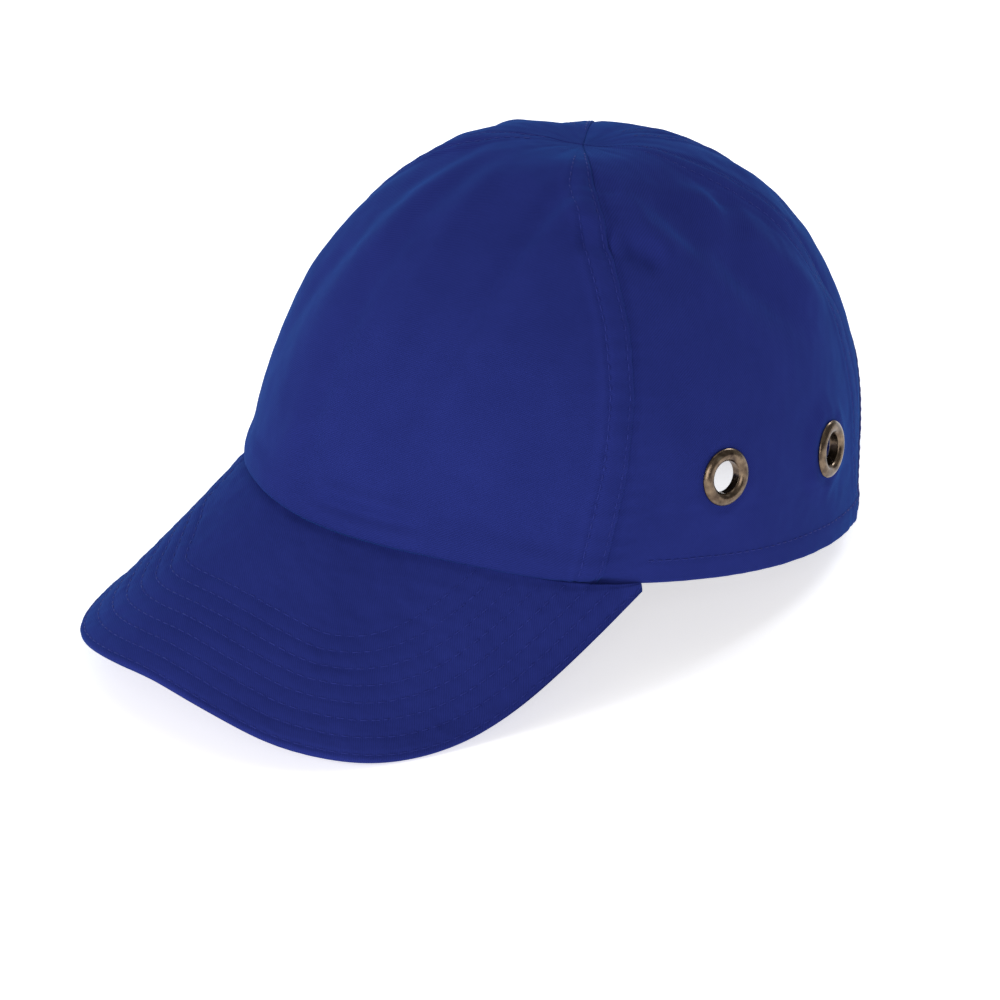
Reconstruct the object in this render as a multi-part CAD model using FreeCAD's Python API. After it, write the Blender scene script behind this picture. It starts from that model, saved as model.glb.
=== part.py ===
import FreeCAD, Part
import math
import os

# Bump cap: cloth cap with a hard shell inside.
# Millimetres. The cap is described in its own wearing frame first: the hem of
# the crown lies in z = 0, the visor points to -Y and the wearer's left is +X.
# At the end everything is tipped and lifted so that the cap stands as it does
# on a table: on the two low corners of the visor and the back of the hem.

# ---------------------------------------------------------------- dimensions
HALF_WIDTH = 84.07        # half width of the hem oval, outside
FRONT_DEPTH = 103.70      # hem oval centre to the forehead
BACK_DEPTH = 109.55       # hem oval centre to the back of the head
OVAL_POWER = 1.974        # superellipse power of the hem oval
CROWN_HEIGHT = 116.8      # hem plane to the apex
RISE_FRONT, RISE_SIDE, RISE_BACK = 1.963, 2.503, 2.551   # meridian powers in z
ROUND_FRONT, ROUND_SIDE, ROUND_BACK = 2.050, 2.125, 2.356  # meridian powers in r
APEX_SHIFT = -8.36        # the apex sits this far forward of the oval centre

VISOR_HALF_ANGLE = 65.80  # where the visor ends on the hem, from the front
VISOR_LENGTH = 68.41      # along the slope, at the centre line
VISOR_SLOPE = 37.71       # degrees down from the hem plane
VISOR_ARCH2, VISOR_ARCH4 = 32.145, 22.889   # drop at x = 80, square and fourth power
VISOR_SIDE_POW, VISOR_FRONT_POW = 0.709, 0.671
VISOR_WIDTH_FACTOR = 1.015
VISOR_BOARD_T = 1.7       # plastic board
COVER_T = 0.7             # visor cloth

PANEL_T = 1.0             # crown cloth, two plies stitched together
BUCKRAM_T = 0.5
FRONT_SEAM = 60.3         # side seam, degrees from the front
REAR_SEAM = 145.0         # rear seam, degrees from the front
APEX_W = 0.985            # panels stop this far up the meridian

EYELET_HEIGHT = 32.65     # eyelet centres above the hem
EYELET_ANGLES = (84.7, 122.2)
EYELET_HOLE_R = 5.1
EYELET_OUTER_R = 9.1
PANEL_HOLE_R = 5.9

ARCH_HALF_WIDTH = 45.0    # rear opening
ARCH_HEIGHT = 64.0
ARCH_POWER = 2.4
BINDING_W = 9.0
BINDING_T = 0.5

TAPE_HALF_WIDTH = 6.0
TAPE_T = 0.4

BAND_BOTTOM, BAND_TOP = 0.6, 22.6   # sweatband
BAND_T = 1.3
BAND_GAP = 2.2            # outer face of the band, in from the crown's outside
SLEEVE_GAP = 7.8          # the same where the strap runs behind the back panels
BROW_T = 2.0              # foam strip on the sweatband

SHELL_GAP = 3.4           # outer face of the hard shell, in from the outside
SHELL_GAP_BACK = 5.2
SHELL_T = 2.0
RIM_FRONT, RIM_SIDE = 37.0, 47.0
PAD_T = 6.0

STRAP_CY = 35.5           # the strap runs on arcs about this vertical line
STRAP_Z0, STRAP_Z1 = 2.0, 25.0
STRAP_T = 1.2
FLAP_IN = 75.0            # inner radius of the flap cloth
HOOK_T = 1.0
LOOP_OUT = 73.7           # outer radius of the loop tape
LOOP_T = 2.0
TAIL_IN = 67.1            # inner radius of the strap's tail in the sleeve
FLAP_END, FLAP_ROOT = -36.0, 8.6
TAIL_END = 62.0
PEEL_AT = 8.8

REST_TILT = -12.33        # degrees about X, front lifted, as it stands

V = FreeCAD.Vector
rad = math.radians


# ------------------------------------------------------------------- shapes
def plan_r(ph):
    s, c = math.sin(ph), math.cos(ph)
    a = FRONT_DEPTH if c > 0 else BACK_DEPTH
    return (abs(s / HALF_WIDTH) ** OVAL_POWER + abs(c / a) ** OVAL_POWER) ** (-1.0 / OVAL_POWER)


def visor_z(x, y):
    return (-(VISOR_ARCH2 * (x / 80.0) ** 2 + VISOR_ARCH4 * (x / 80.0) ** 4)
            + (y + FRONT_DEPTH) * math.tan(rad(VISOR_SLOPE)))


END_R = plan_r(rad(VISOR_HALF_ANGLE))
END_X = END_R * math.sin(rad(VISOR_HALF_ANGLE))
END_Y = -END_R * math.cos(rad(VISOR_HALF_ANGLE))
END_Z = visor_z(END_X, END_Y)


def hem_z(ph):
    ph = (ph + math.pi) % (2 * math.pi) - math.pi
    if abs(ph) >= rad(VISOR_HALF_ANGLE):
        return 0.0
    r = plan_r(ph)
    return visor_z(r * math.sin(ph), -r * math.cos(ph)) - END_Z


def powers(ph):
    c = math.cos(ph)
    wf = c * c if c > 0 else 0.0
    wb = c * c if c < 0 else 0.0
    ws = 1.0 - wf - wb
    return (RISE_FRONT * wf + RISE_BACK * wb + RISE_SIDE * ws,
            ROUND_FRONT * wf + ROUND_BACK * wb + ROUND_SIDE * ws)


def at_height(ph, z):
    p, q = powers(ph)
    uu = min(max(z / CROWN_HEIGHT, 0.0), 1.0)
    g = max(1.0 - uu ** p, 0.0) ** (1.0 / q)
    r = plan_r(ph) * g
    return V(r * math.sin(ph), -r * math.cos(ph) + APEX_SHIFT * uu ** 1.5, z)


def w_height(ph, w):
    zh = hem_z(ph)
    return zh + (CROWN_HEIGHT - zh) * math.sin(w * math.pi / 2)


def w_of(ph, z):
    zh = hem_z(ph)
    u = min(max((z - zh) / (CROWN_HEIGHT - zh), 0.0), 1.0)
    return 2 / math.pi * math.asin(u)


def crown(ph, w):
    return at_height(ph, w_height(ph, w))


def normal(ph, w):
    e = 1e-3
    wa, wb = max(w - e, 0.0), min(w + e, 0.9995)
    dp = crown(ph + e, w) - crown(ph - e, w)
    dw = crown(ph, wb) - crown(ph, wa)
    n = dp.cross(dw)
    n.normalize()
    c = crown(ph, w)
    if n.dot(c - V(0, 0, 20)) < 0:
        n = n * -1
    return n


def off(ph, w, d):
    return crown(ph, w) + normal(ph, w) * d


def lin(a, b, n):
    return [a + (b - a) * i / (n - 1.0) for i in range(n)]


def smooth(x, a, b):
    t = min(max((x - a) / (b - a), 0.0), 1.0)
    return t * t * (3 - 2 * t)


def surface(grid):
    s = Part.BSplineSurface()
    s.interpolate(grid)
    return s


def close(faces, tol=0.01):
    sh = Part.makeCompound(faces)
    sh.sewShape(tol)
    shell = sh.Shells[0] if sh.Shells else Part.makeShell(sh.Faces)
    sol = Part.makeSolid(shell)
    if sol.Volume < 0:
        sol.reverse()
    if not sol.isValid():
        sol.fix(0.01, 0.01, 0.05)
    return sol


def sides(so, si, which="abcd"):
    a0, a1, b0, b1 = so.bounds()
    c0, c1, d0, d1 = si.bounds()
    pairs = {"a": (so.uIso(a0), si.uIso(c0)), "b": (so.uIso(a1), si.uIso(c1)),
             "c": (so.vIso(b0), si.vIso(d0)), "d": (so.vIso(b1), si.vIso(d1))}
    return [Part.makeRuledSurface(pairs[k][0].toShape(), pairs[k][1].toShape()) for k in which]


def slab(outer, inner):
    so, si = surface(outer), surface(inner)
    return close([so.toShape(), si.toShape()] + sides(so, si))


def wall(p0, p1, w0, w1, d_out, d_in, n=15, m=13):
    """A piece of the crown between two seams, from w0 to w1 up the meridian."""
    phs = [rad(a) for a in lin(p0, p1, n)]
    ws = lin(w0, w1, m)
    fo = d_out if callable(d_out) else (lambda ph: d_out)
    fi = d_in if callable(d_in) else (lambda ph: d_in)
    return slab([[off(ph, w, fo(ph)) for w in ws] for ph in phs],
                [[off(ph, w, fi(ph)) for w in ws] for ph in phs])


def band(p0, p1, z0, z1, d_out, d_in, n=15, m=5):
    """A strip that follows the crown between two heights."""
    fo = d_out if callable(d_out) else (lambda ph: d_out)
    fi = d_in if callable(d_in) else (lambda ph: d_in)
    f0 = z0 if callable(z0) else (lambda ph: z0)
    f1 = z1 if callable(z1) else (lambda ph: z1)
    go, gi = [], []
    for a in lin(p0, p1, n):
        ph = rad(a)
        ro, ri = [], []
        for k in range(m):
            z = f0(ph) + (f1(ph) - f0(ph)) * k / (m - 1.0)
            w = w_of(ph, z)
            ro.append(off(ph, w, fo(ph)))
            ri.append(off(ph, w, fi(ph)))
        go.append(ro)
        gi.append(ri)
    return slab(go, gi)


def mirror(s):
    return s.mirror(V(0, 0, 0), V(1, 0, 0))


parts = {}

# -------------------------------------------------------------- crown panels
parts["front_panel"] = wall(-FRONT_SEAM, FRONT_SEAM, 0.0, APEX_W, 0.0, -PANEL_T, 25, 15)
parts["front_buckram"] = band(-FRONT_SEAM + 7.6, FRONT_SEAM - 7.6, lambda ph: hem_z(ph) + 1.0, 92.0,
                              -PANEL_T - 0.02, -PANEL_T - BUCKRAM_T, 23, 9)


def eyelet_frame(angle):
    ph = rad(angle)
    w = w_of(ph, EYELET_HEIGHT)
    return crown(ph, w), normal(ph, w)


side = wall(FRONT_SEAM, REAR_SEAM, 0.0, APEX_W, 0.0, -PANEL_T, 19, 15)
for a in EYELET_ANGLES:
    c, n = eyelet_frame(a)
    side = side.cut(Part.makeCylinder(PANEL_HOLE_R, 20, c - n * 10, n))
side = side.Solids[0]
parts["side_panel_left"] = side
parts["side_panel_right"] = mirror(side)


def arch_xz(t, grow=0.0):
    c, s = math.cos(t), math.sin(t)
    x = ARCH_HALF_WIDTH * abs(c) ** (2 / ARCH_POWER) * (1 if c >= 0 else -1)
    z = ARCH_HEIGHT * abs(s) ** (2 / ARCH_POWER)
    if grow:
        nx = abs(x / ARCH_HALF_WIDTH) ** (ARCH_POWER - 1) / ARCH_HALF_WIDTH * (1 if x >= 0 else -1)
        nz = abs(z / ARCH_HEIGHT) ** (ARCH_POWER - 1) / ARCH_HEIGHT
        k = math.hypot(nx, nz)
        x, z = x + grow * nx / k, z + grow * nz / k
    return x, z


back = wall(REAR_SEAM, 180.0, 0.0, APEX_W, 0.0, -PANEL_T, 11, 17)
pts = [V(arch_xz(t)[0], 50, arch_xz(t)[1]) for t in lin(0.0, math.pi, 41)]
curve = Part.BSplineCurve()
curve.interpolate(pts)
foot = [pts[-1], V(-ARCH_HALF_WIDTH, 50, -12), V(ARCH_HALF_WIDTH, 50, -12), pts[0]]
outline = Part.Wire([curve.toShape()] + [Part.makeLine(foot[i], foot[i + 1]) for i in range(3)])
back = back.cut(Part.Face(outline).extrude(V(0, 100, 0))).Solids[0]
parts["back_panel_left"] = back
parts["back_panel_right"] = mirror(back)


# ------------------------------------------------- seam tapes, arch binding
def tape(seam, gap_deg, z0, lane):
    d0 = -PANEL_T - 0.03 - lane
    go, gi = [], []
    for k in range(13):
        w = w_of(rad(seam), z0) + (0.972 - w_of(rad(seam), z0)) * k / 12.0
        z = w_height(rad(seam), w)
        c = at_height(rad(seam), z)
        r = math.hypot(c.x, c.y - APEX_SHIFT * (z / CROWN_HEIGHT) ** 1.5)
        hw = min(TAPE_HALF_WIDTH, r * math.tan(rad(gap_deg) / 2) * 0.9)
        ro, ri = [], []
        for j in range(5):
            ph = rad(seam) + (j - 2) / 2.0 * hw / r
            wj = w_of(ph, z)
            ro.append(off(ph, wj, d0))
            ri.append(off(ph, wj, d0 - TAPE_T))
        go.append(ro)
        gi.append(ri)
    return slab(go, gi)


parts["seam_tape_front_left"] = tape(FRONT_SEAM, 80.0, BAND_TOP - 6, 0.0)
parts["seam_tape_front_right"] = mirror(parts["seam_tape_front_left"])
parts["seam_tape_rear_left"] = tape(REAR_SEAM, 30.0, BAND_TOP + 4, 0.6)
parts["seam_tape_rear_right"] = mirror(parts["seam_tape_rear_left"])
parts["seam_tape_centre_back"] = tape(180.0, 30.0, ARCH_HEIGHT + BINDING_W + 0.6, 0.0)


def back_at(x, z, d):
    lo, hi = math.pi / 2, math.pi
    sx = 1 if x >= 0 else -1
    ax = abs(x)
    for _ in range(60):
        mid = (lo + hi) / 2
        if at_height(mid, z).x > ax:
            lo = mid
        else:
            hi = mid
    ph = (lo + hi) / 2
    p = off(ph, w_of(ph, z), d)
    return V(sx * p.x, p.y, p.z)


go, gi = [], []
for t in lin(0.0, math.pi, 33):
    ro, ri = [], []
    for k in range(4):
        x, z = arch_xz(t, 0.4 + BINDING_W * k / 3.0)
        z = max(z, 0.6 + 0.0 * k)
        ro.append(back_at(x, z, -PANEL_T - 0.05))
        ri.append(back_at(x, z, -PANEL_T - 0.05 - BINDING_T))
    go.append(ro)
    gi.append(ri)
parts["arch_binding"] = slab(go, gi)

# ------------------------------------------------------ sweatband, brow foam
BAND_END = 153.6


def band_gap(ph):
    a = abs(math.degrees((ph + math.pi) % (2 * math.pi) - math.pi))
    return BAND_GAP + (SLEEVE_GAP - BAND_GAP) * smooth(a, 106.0, 125.0)


parts["sweatband"] = band(-BAND_END, BAND_END, lambda ph: hem_z(ph) + BAND_BOTTOM,
                          lambda ph: hem_z(ph) + BAND_TOP,
                          lambda ph: -band_gap(ph), lambda ph: -band_gap(ph) - BAND_T, 61, 5)
parts["brow_foam"] = band(-46, 46, lambda ph: hem_z(ph) + BAND_BOTTOM + 2,
                          lambda ph: hem_z(ph) + BAND_TOP - 2,
                          -BAND_GAP - BAND_T - 0.05, -BAND_GAP - BAND_T - 0.05 - BROW_T, 19, 5)


# --------------------------------------------------------------------- visor
def visor_mid(s, t):
    ph = s * rad(VISOR_HALF_ANGLE)
    r = plan_r(ph)
    xi, yi = r * math.sin(ph), -r * math.cos(ph)
    psi = s * math.pi / 2
    sp, cp = math.sin(psi), max(math.cos(psi), 0.0)
    xo = VISOR_WIDTH_FACTOR * END_X * (1 if sp >= 0 else -1) * abs(sp) ** VISOR_SIDE_POW
    yf = -FRONT_DEPTH - VISOR_LENGTH * math.cos(rad(VISOR_SLOPE))
    yo = END_Y + (yf - END_Y) * cp ** VISOR_FRONT_POW
    return xi * (1 - t) + xo * t, yi * (1 - t) + yo * t


def visor_at(s, t, d):
    x, y = visor_mid(s, t)
    zx = -(2 * VISOR_ARCH2 * x / 80.0 ** 2 + 4 * VISOR_ARCH4 * x ** 3 / 80.0 ** 4)
    zy = math.tan(rad(VISOR_SLOPE))
    k = 1 / math.sqrt(zx * zx + zy * zy + 1)
    return V(x - zx * k * d, y - zy * k * d, visor_z(x, y) - END_Z + k * d)


# stations along the visor, closer together towards its two ends
S_ROW = [math.sin(a * math.pi / 2) * 0.35 + a * 0.65 for a in lin(-1.0, 1.0, 33)]
T_ROW = [0.0, 0.12, 0.26, 0.4, 0.54, 0.68, 0.8, 0.89, 0.94, 0.97, 0.99, 1.0]


def edge_fall(t):
    return math.sqrt(max(1 - (max(t - 0.955, 0) / 0.0455) ** 2, 0.0))


D1 = VISOR_BOARD_T / 2
D2 = D1 + COVER_T


def visor_layer(fo, fi, s_row, t_row):
    return slab([[visor_at(s, t, fo(t)) for t in t_row] for s in s_row],
                [[visor_at(s, t, fi(t)) for t in t_row] for s in s_row])


parts["visor_top_cover"] = visor_layer(lambda t: 0.35 + (D2 - 0.35) * edge_fall(t),
                                       lambda t: 0.02 + (D1 + 0.01) * edge_fall(t), S_ROW, T_ROW)
parts["visor_under_cover"] = visor_layer(lambda t: -0.02 - (D1 + 0.01) * edge_fall(t),
                                         lambda t: -0.35 - (D2 - 0.35) * edge_fall(t), S_ROW, T_ROW)
parts["visor_board"] = visor_layer(lambda t: D1, lambda t: -D1,
                                   [s * 0.95 for s in S_ROW], lin(0.02, 0.945, 9))


# ------------------------------------------------------- eyelets and washers
def turned(profile, c, n):
    """A ring turned about the line through c along n, from (radius, height) points."""
    w = Part.makePolygon([V(r, 0, h) for r, h in profile + profile[:1]])
    s = Part.Face(w).revolve(V(0, 0, 0), V(0, 0, 1), 360)
    if s.ShapeType != "Solid":
        s = Part.makeSolid(Part.makeShell(s.Faces))
    if s.Volume < 0:
        s.reverse()
    s.Placement = FreeCAD.Placement(c, FreeCAD.Rotation(V(0, 0, 1), n))
    return s


H_IN = -PANEL_T - 1.05
EYELET = [(EYELET_HOLE_R, 0.45), (EYELET_HOLE_R, H_IN - 0.45), (7.0, H_IN - 0.45), (7.0, H_IN),
          (5.65, H_IN + 0.05), (5.65, 0.12), (8.6, -0.05), (EYELET_OUTER_R, 0.3), (8.9, 0.9),
          (8.1, 1.4), (7.0, 1.6), (6.0, 1.4), (5.4, 1.0)]
WASHER = [(5.72, -PANEL_T - 0.38), (5.72, -PANEL_T - 1.0), (8.8, -PANEL_T - 1.0),
          (8.8, -PANEL_T - 0.38)]
for name, a in (("front", EYELET_ANGLES[0]), ("rear", EYELET_ANGLES[1])):
    c, n = eyelet_frame(a)
    parts["eyelet_%s_left" % name] = turned(EYELET, c, n)
    parts["eyelet_%s_right" % name] = mirror(parts["eyelet_%s_left" % name])
    parts["washer_%s_left" % name] = turned(WASHER, c, n)
    parts["washer_%s_right" % name] = mirror(parts["washer_%s_left" % name])


# ------------------------------------------------------ hard shell and pads
def shell_gap(ph):
    a = abs(math.degrees((ph + math.pi) % (2 * math.pi) - math.pi))
    return SHELL_GAP + (SHELL_GAP_BACK - SHELL_GAP) * smooth(a, 95.0, 125.0)


def rim(ph):
    a = abs(math.degrees((ph + math.pi) % (2 * math.pi) - math.pi))
    return RIM_FRONT + (RIM_SIDE - RIM_FRONT) * smooth(a, 38.0, 72.0)


def half_dome(sign, d_extra):
    g = []
    for a in lin(0.0, 180.0, 37):
        ph = rad(a) * sign
        w0 = w_of(ph, rim(ph))
        row = []
        for k in range(13):
            w = w0 + (0.965 - w0) * k / 12.0
            # the back's larger gap fades out towards the apex
            f = 1 - smooth(w, 0.55, 0.9)
            d = SHELL_GAP + (shell_gap(ph) - SHELL_GAP) * f
            row.append(off(ph, w, -d - d_extra))
        g.append(row)
    return g


faces = []
for sign in (1, -1):
    so = surface(half_dome(sign, 0.0))
    si = surface(half_dome(sign, SHELL_T))
    faces += [so.toShape(), si.toShape()] + sides(so, si, "cd")
shell = close(faces, 0.02)
vents = []
for a, z, turn in ((28, 78, 0), (62, 84, 0), (96, 84, 0), (128, 84, 0), (160, 80, 0), (78, 64, 90), (112, 64, 90)):
    ph = rad(a)
    w = w_of(ph, z)
    c, n = crown(ph, w), normal(ph, w)
    up = V(0, 0, 1) - n * n.z
    up.normalize()
    across = n.cross(up)
    run = up if turn == 0 else across
    # an oblong slot 7 mm wide and 20 mm long
    box = Part.makeBox(13, 7, 30, V(-6.5, -3.5, -15))
    slot = box.fuse([Part.makeCylinder(3.5, 30, V(-6.5, 0, -15)), Part.makeCylinder(3.5, 30, V(6.5, 0, -15))])
    side_dir = n.cross(run)
    m = FreeCAD.Matrix(run.x, side_dir.x, n.x, c.x, run.y, side_dir.y, n.y, c.y,
                       run.z, side_dir.z, n.z, c.z, 0, 0, 0, 1)
    slot.Placement = FreeCAD.Placement(m)
    vents += [slot, mirror(slot)]
shell = shell.cut(vents)
parts["bump_shell"] = shell.Solids[0]


def pad(p0, p1, z0, z1, n=11, m=7):
    go, gi = [], []
    for a in lin(p0, p1, n):
        ph = rad(a)
        ro, ri = [], []
        for k in range(m):
            z = z0 + (z1 - z0) * k / (m - 1.0)
            w = w_of(ph, z)
            f = 1 - smooth(w, 0.55, 0.9)
            d = SHELL_GAP + (shell_gap(ph) - SHELL_GAP) * f + SHELL_T + 0.12
            ro.append(off(ph, w, -d))
            ri.append(off(ph, w, -d - PAD_T))
        go.append(ro)
        gi.append(ri)
    return slab(go, gi)


parts["pad_front"] = pad(-40, 40, 42, 72)
parts["pad_left"] = pad(62, 112, 51, 78)
parts["pad_right"] = mirror(parts["pad_left"])
parts["pad_back"] = pad(146, 214, 52, 80)


def top_at(x, y, d):
    """The crown above a point of the plan, moved d along the normal."""
    u = 0.97
    for _ in range(80):
        yy = y - APEX_SHIFT * u ** 1.5
        ph = math.atan2(x, -yy)
        p, q = powers(ph)
        g = min(math.hypot(x, yy) / plan_r(ph), 1.0)
        un = (1 - g ** q) ** (1 / p)
        u = 0.5 * u + 0.5 * un
    if math.hypot(x, yy) < 0.5:
        return V(x, y, CROWN_HEIGHT + d)
    return off(ph, w_of(ph, CROWN_HEIGHT * u), d)


def top_disc(d):
    g = []
    for i in range(9):
        a = -1 + 2 * i / 8.0
        row = []
        for j in range(9):
            b = -1 + 2 * j / 8.0
            x = 30.0 * a * math.sqrt(1 - b * b / 2)
            y = APEX_SHIFT + 38.0 * b * math.sqrt(1 - a * a / 2)
            row.append(top_at(x, y, d))
        g.append(row)
    return g


parts["pad_top"] = slab(top_disc(-SHELL_GAP - SHELL_T - 0.3), top_disc(-SHELL_GAP - SHELL_T - 0.3 - PAD_T))


# --------------------------------------------------------------- rear strap
def arc_strip(a0, a1, r_in, r_out, z0=STRAP_Z0, z1=STRAP_Z1, n=21):
    fi = r_in if callable(r_in) else (lambda a: r_in)
    fo = r_out if callable(r_out) else (lambda a: r_out)
    go, gi = [], []
    for a in lin(a0, a1, n):
        t = rad(a)
        go.append([V(fo(a) * math.sin(t), STRAP_CY + fo(a) * math.cos(t), z) for z in lin(z0, z1, 4)])
        gi.append([V(fi(a) * math.sin(t), STRAP_CY + fi(a) * math.cos(t), z) for z in lin(z0, z1, 4)])
    return slab(go, gi)


def left_in(a):
    return FLAP_IN + (TAIL_IN - FLAP_IN) * smooth(a, 11.0, 29.0)


def right_in(a):
    inner = LOOP_OUT - LOOP_T - STRAP_T - 0.02
    return inner + (TAIL_IN - 0.3 - inner) * smooth(-a, 30.5, 40.5)


parts["strap_left_flap"] = arc_strip(FLAP_END, FLAP_ROOT, FLAP_IN, FLAP_IN + STRAP_T, n=15)
parts["hook_tape"] = arc_strip(FLAP_END + 1.0, -9.0, FLAP_IN - HOOK_T, FLAP_IN - 0.01,
                               STRAP_Z0 + 1.5, STRAP_Z1 - 1.5, 11)
parts["strap_left_root"] = arc_strip(FLAP_ROOT + 0.4, TAIL_END, left_in, lambda a: left_in(a) + STRAP_T, n=41)
parts["strap_right"] = arc_strip(-57.0, -8.0, right_in, lambda a: right_in(a) + STRAP_T, n=41)
parts["loop_tape"] = arc_strip(-30.5, -8.5, LOOP_OUT - LOOP_T, LOOP_OUT, STRAP_Z0 + 1.5, STRAP_Z1 - 1.5, 11)

# ---------------------------------------------------------- the cap at rest
low = 1e9
c0, s0 = math.cos(rad(REST_TILT)), math.sin(rad(REST_TILT))
for s in lin(-1, 1, 401):
    for t in (0.9, 0.94, 0.96, 0.97, 0.98, 0.99, 1.0):
        p = visor_at(s, t, -0.35 - (D2 - 0.35) * edge_fall(t))
        low = min(low, p.y * s0 + p.z * c0)
for a in lin(90, 270, 181):
    p = at_height(rad(a), 0.0)
    low = min(low, p.y * s0)
y_front = min(visor_at(s, 1.0, 0).y * c0 - visor_at(s, 1.0, 0).z * s0 for s in lin(-1, 1, 101))
y_back = (STRAP_CY + FLAP_IN + STRAP_T) * c0 - STRAP_Z1 * s0
SHIFT_Y = -(y_front + y_back) / 2.0
SHIFT_Z = -low

os.makedirs("parts", exist_ok=True)
for name, s in parts.items():
    s = s.copy()
    s.rotate(V(0, 0, 0), V(1, 0, 0), REST_TILT)
    s.translate(V(0, SHIFT_Y, SHIFT_Z))
    s.exportStep("parts/%s.step" % name)
    b = s.BoundBox
    print("%-24s valid %s solids %d vol %9.1f  z %.1f..%.1f" % (
        name, s.isValid(), len(s.Solids), s.Volume, b.ZMin, b.ZMax))
print("shift y %.4f z %.4f" % (SHIFT_Y, SHIFT_Z))
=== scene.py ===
import bpy, bmesh, math
import numpy as np
from mathutils import Matrix, Vector

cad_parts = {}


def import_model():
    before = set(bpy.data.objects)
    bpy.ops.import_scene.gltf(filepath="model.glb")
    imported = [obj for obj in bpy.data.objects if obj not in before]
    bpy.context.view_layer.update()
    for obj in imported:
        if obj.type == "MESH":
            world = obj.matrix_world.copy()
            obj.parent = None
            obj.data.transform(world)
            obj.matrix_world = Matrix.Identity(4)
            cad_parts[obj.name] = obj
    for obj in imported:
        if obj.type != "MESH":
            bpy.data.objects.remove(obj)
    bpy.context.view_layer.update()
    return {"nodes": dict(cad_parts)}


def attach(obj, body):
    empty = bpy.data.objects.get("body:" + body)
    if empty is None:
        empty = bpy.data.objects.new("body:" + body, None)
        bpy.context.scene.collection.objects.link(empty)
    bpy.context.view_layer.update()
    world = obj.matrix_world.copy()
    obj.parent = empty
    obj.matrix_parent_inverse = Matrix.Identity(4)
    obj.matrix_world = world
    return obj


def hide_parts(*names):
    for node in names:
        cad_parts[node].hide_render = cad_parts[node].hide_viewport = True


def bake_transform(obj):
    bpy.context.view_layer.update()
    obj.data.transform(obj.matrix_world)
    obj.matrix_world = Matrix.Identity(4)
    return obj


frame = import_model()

rad = math.radians
RNG = np.random.default_rng(11)

# ------------------------------------------------------------------ the form
# All lengths in millimetres in the cap's own wearing frame: hem in z = 0,
# visor towards -Y, the wearer's left towards +X. world() tips it as it stands.
B, AF, AB, NP = 84.07, 103.70, 109.55, 1.974
H = 116.8
PF, PS, PB = 1.963, 2.503, 2.551
QF, QS, QB = 2.050, 2.125, 2.356
YA = -8.36
PHB, VLEN, VSLOPE = rad(65.80), 68.41, rad(37.71)
A2, A4, M1, M2, WF = 32.145, 22.889, 0.709, 0.671, 1.015
TILT = rad(-12.33)
SHIFT = np.array([0.0, 24.3354, 23.3935])
CT, ST = math.cos(TILT), math.sin(TILT)


def world(p):
    """wearing frame, mm -> the frame's metres"""
    p = np.asarray(p, float)
    y = p[..., 1] * CT - p[..., 2] * ST
    z = p[..., 1] * ST + p[..., 2] * CT
    q = (np.stack([p[..., 0], y, z], -1) + SHIFT) / 1000.0
    q[..., 2] = np.maximum(q[..., 2], 0.00005)          # nothing sinks into the floor
    return q


def plan_r(ph):
    a = np.where(np.cos(ph) > 0, AF, AB)
    return (np.abs(np.sin(ph) / B) ** NP + np.abs(np.cos(ph) / a) ** NP) ** (-1.0 / NP)


def visor_z(x, y):
    return -(A2 * (x / 80.0) ** 2 + A4 * (x / 80.0) ** 4) + (y + AF) * math.tan(VSLOPE)


END_R = float(plan_r(np.array(PHB)))
END_X, END_Y = END_R * math.sin(PHB), -END_R * math.cos(PHB)
END_Z = visor_z(END_X, END_Y)


def wrap(ph):
    return (ph + np.pi) % (2 * np.pi) - np.pi


def hem_z(ph):
    ph = wrap(np.asarray(ph, float))
    r = plan_r(ph)
    z = visor_z(r * np.sin(ph), -r * np.cos(ph)) - END_Z
    return np.where(np.abs(ph) < PHB, z, 0.0)


def at_height(ph, z):
    c = np.cos(ph)
    wf, wb = np.where(c > 0, c * c, 0), np.where(c < 0, c * c, 0)
    ws = 1 - wf - wb
    p = PF * wf + PB * wb + PS * ws
    q = QF * wf + QB * wb + QS * ws
    uu = np.clip(z / H, 0, 1)
    g = np.maximum(1 - uu ** p, 0) ** (1 / q)
    r = plan_r(ph) * g
    return np.stack([r * np.sin(ph), -r * np.cos(ph) + YA * uu ** 1.5, z * np.ones_like(r)], -1)


def crown(ph, w):
    zh = hem_z(ph)
    return at_height(ph, zh + (H - zh) * np.sin(w * np.pi / 2))


def w_of(ph, z):
    zh = hem_z(ph)
    return 2 / np.pi * np.arcsin(np.clip((z - zh) / (H - zh), 0, 1))


def crown_n(ph, w):
    e = 2e-3
    w = np.minimum(w, 0.9975)
    wa, wb = np.maximum(w - e, 0), w + e
    n = np.cross(crown(ph + e, w) - crown(ph - e, w), crown(ph, wb) - crown(ph, wa))
    n /= np.linalg.norm(n, axis=-1, keepdims=True) + 1e-12
    s = np.sign(((crown(ph, w) - np.array([0, 0, 20.0])) * n).sum(-1, keepdims=True))
    return n * np.where(s == 0, 1, s)


def off(ph, w, d):
    return crown(ph, w) + crown_n(ph, w) * np.asarray(d)[..., None]


def sstep(x, a, b):
    t = np.clip((x - a) / (b - a), 0, 1)
    return t * t * (3 - 2 * t)


def bump(x, s):
    return np.exp(-0.5 * (x / s) ** 2)


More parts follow.
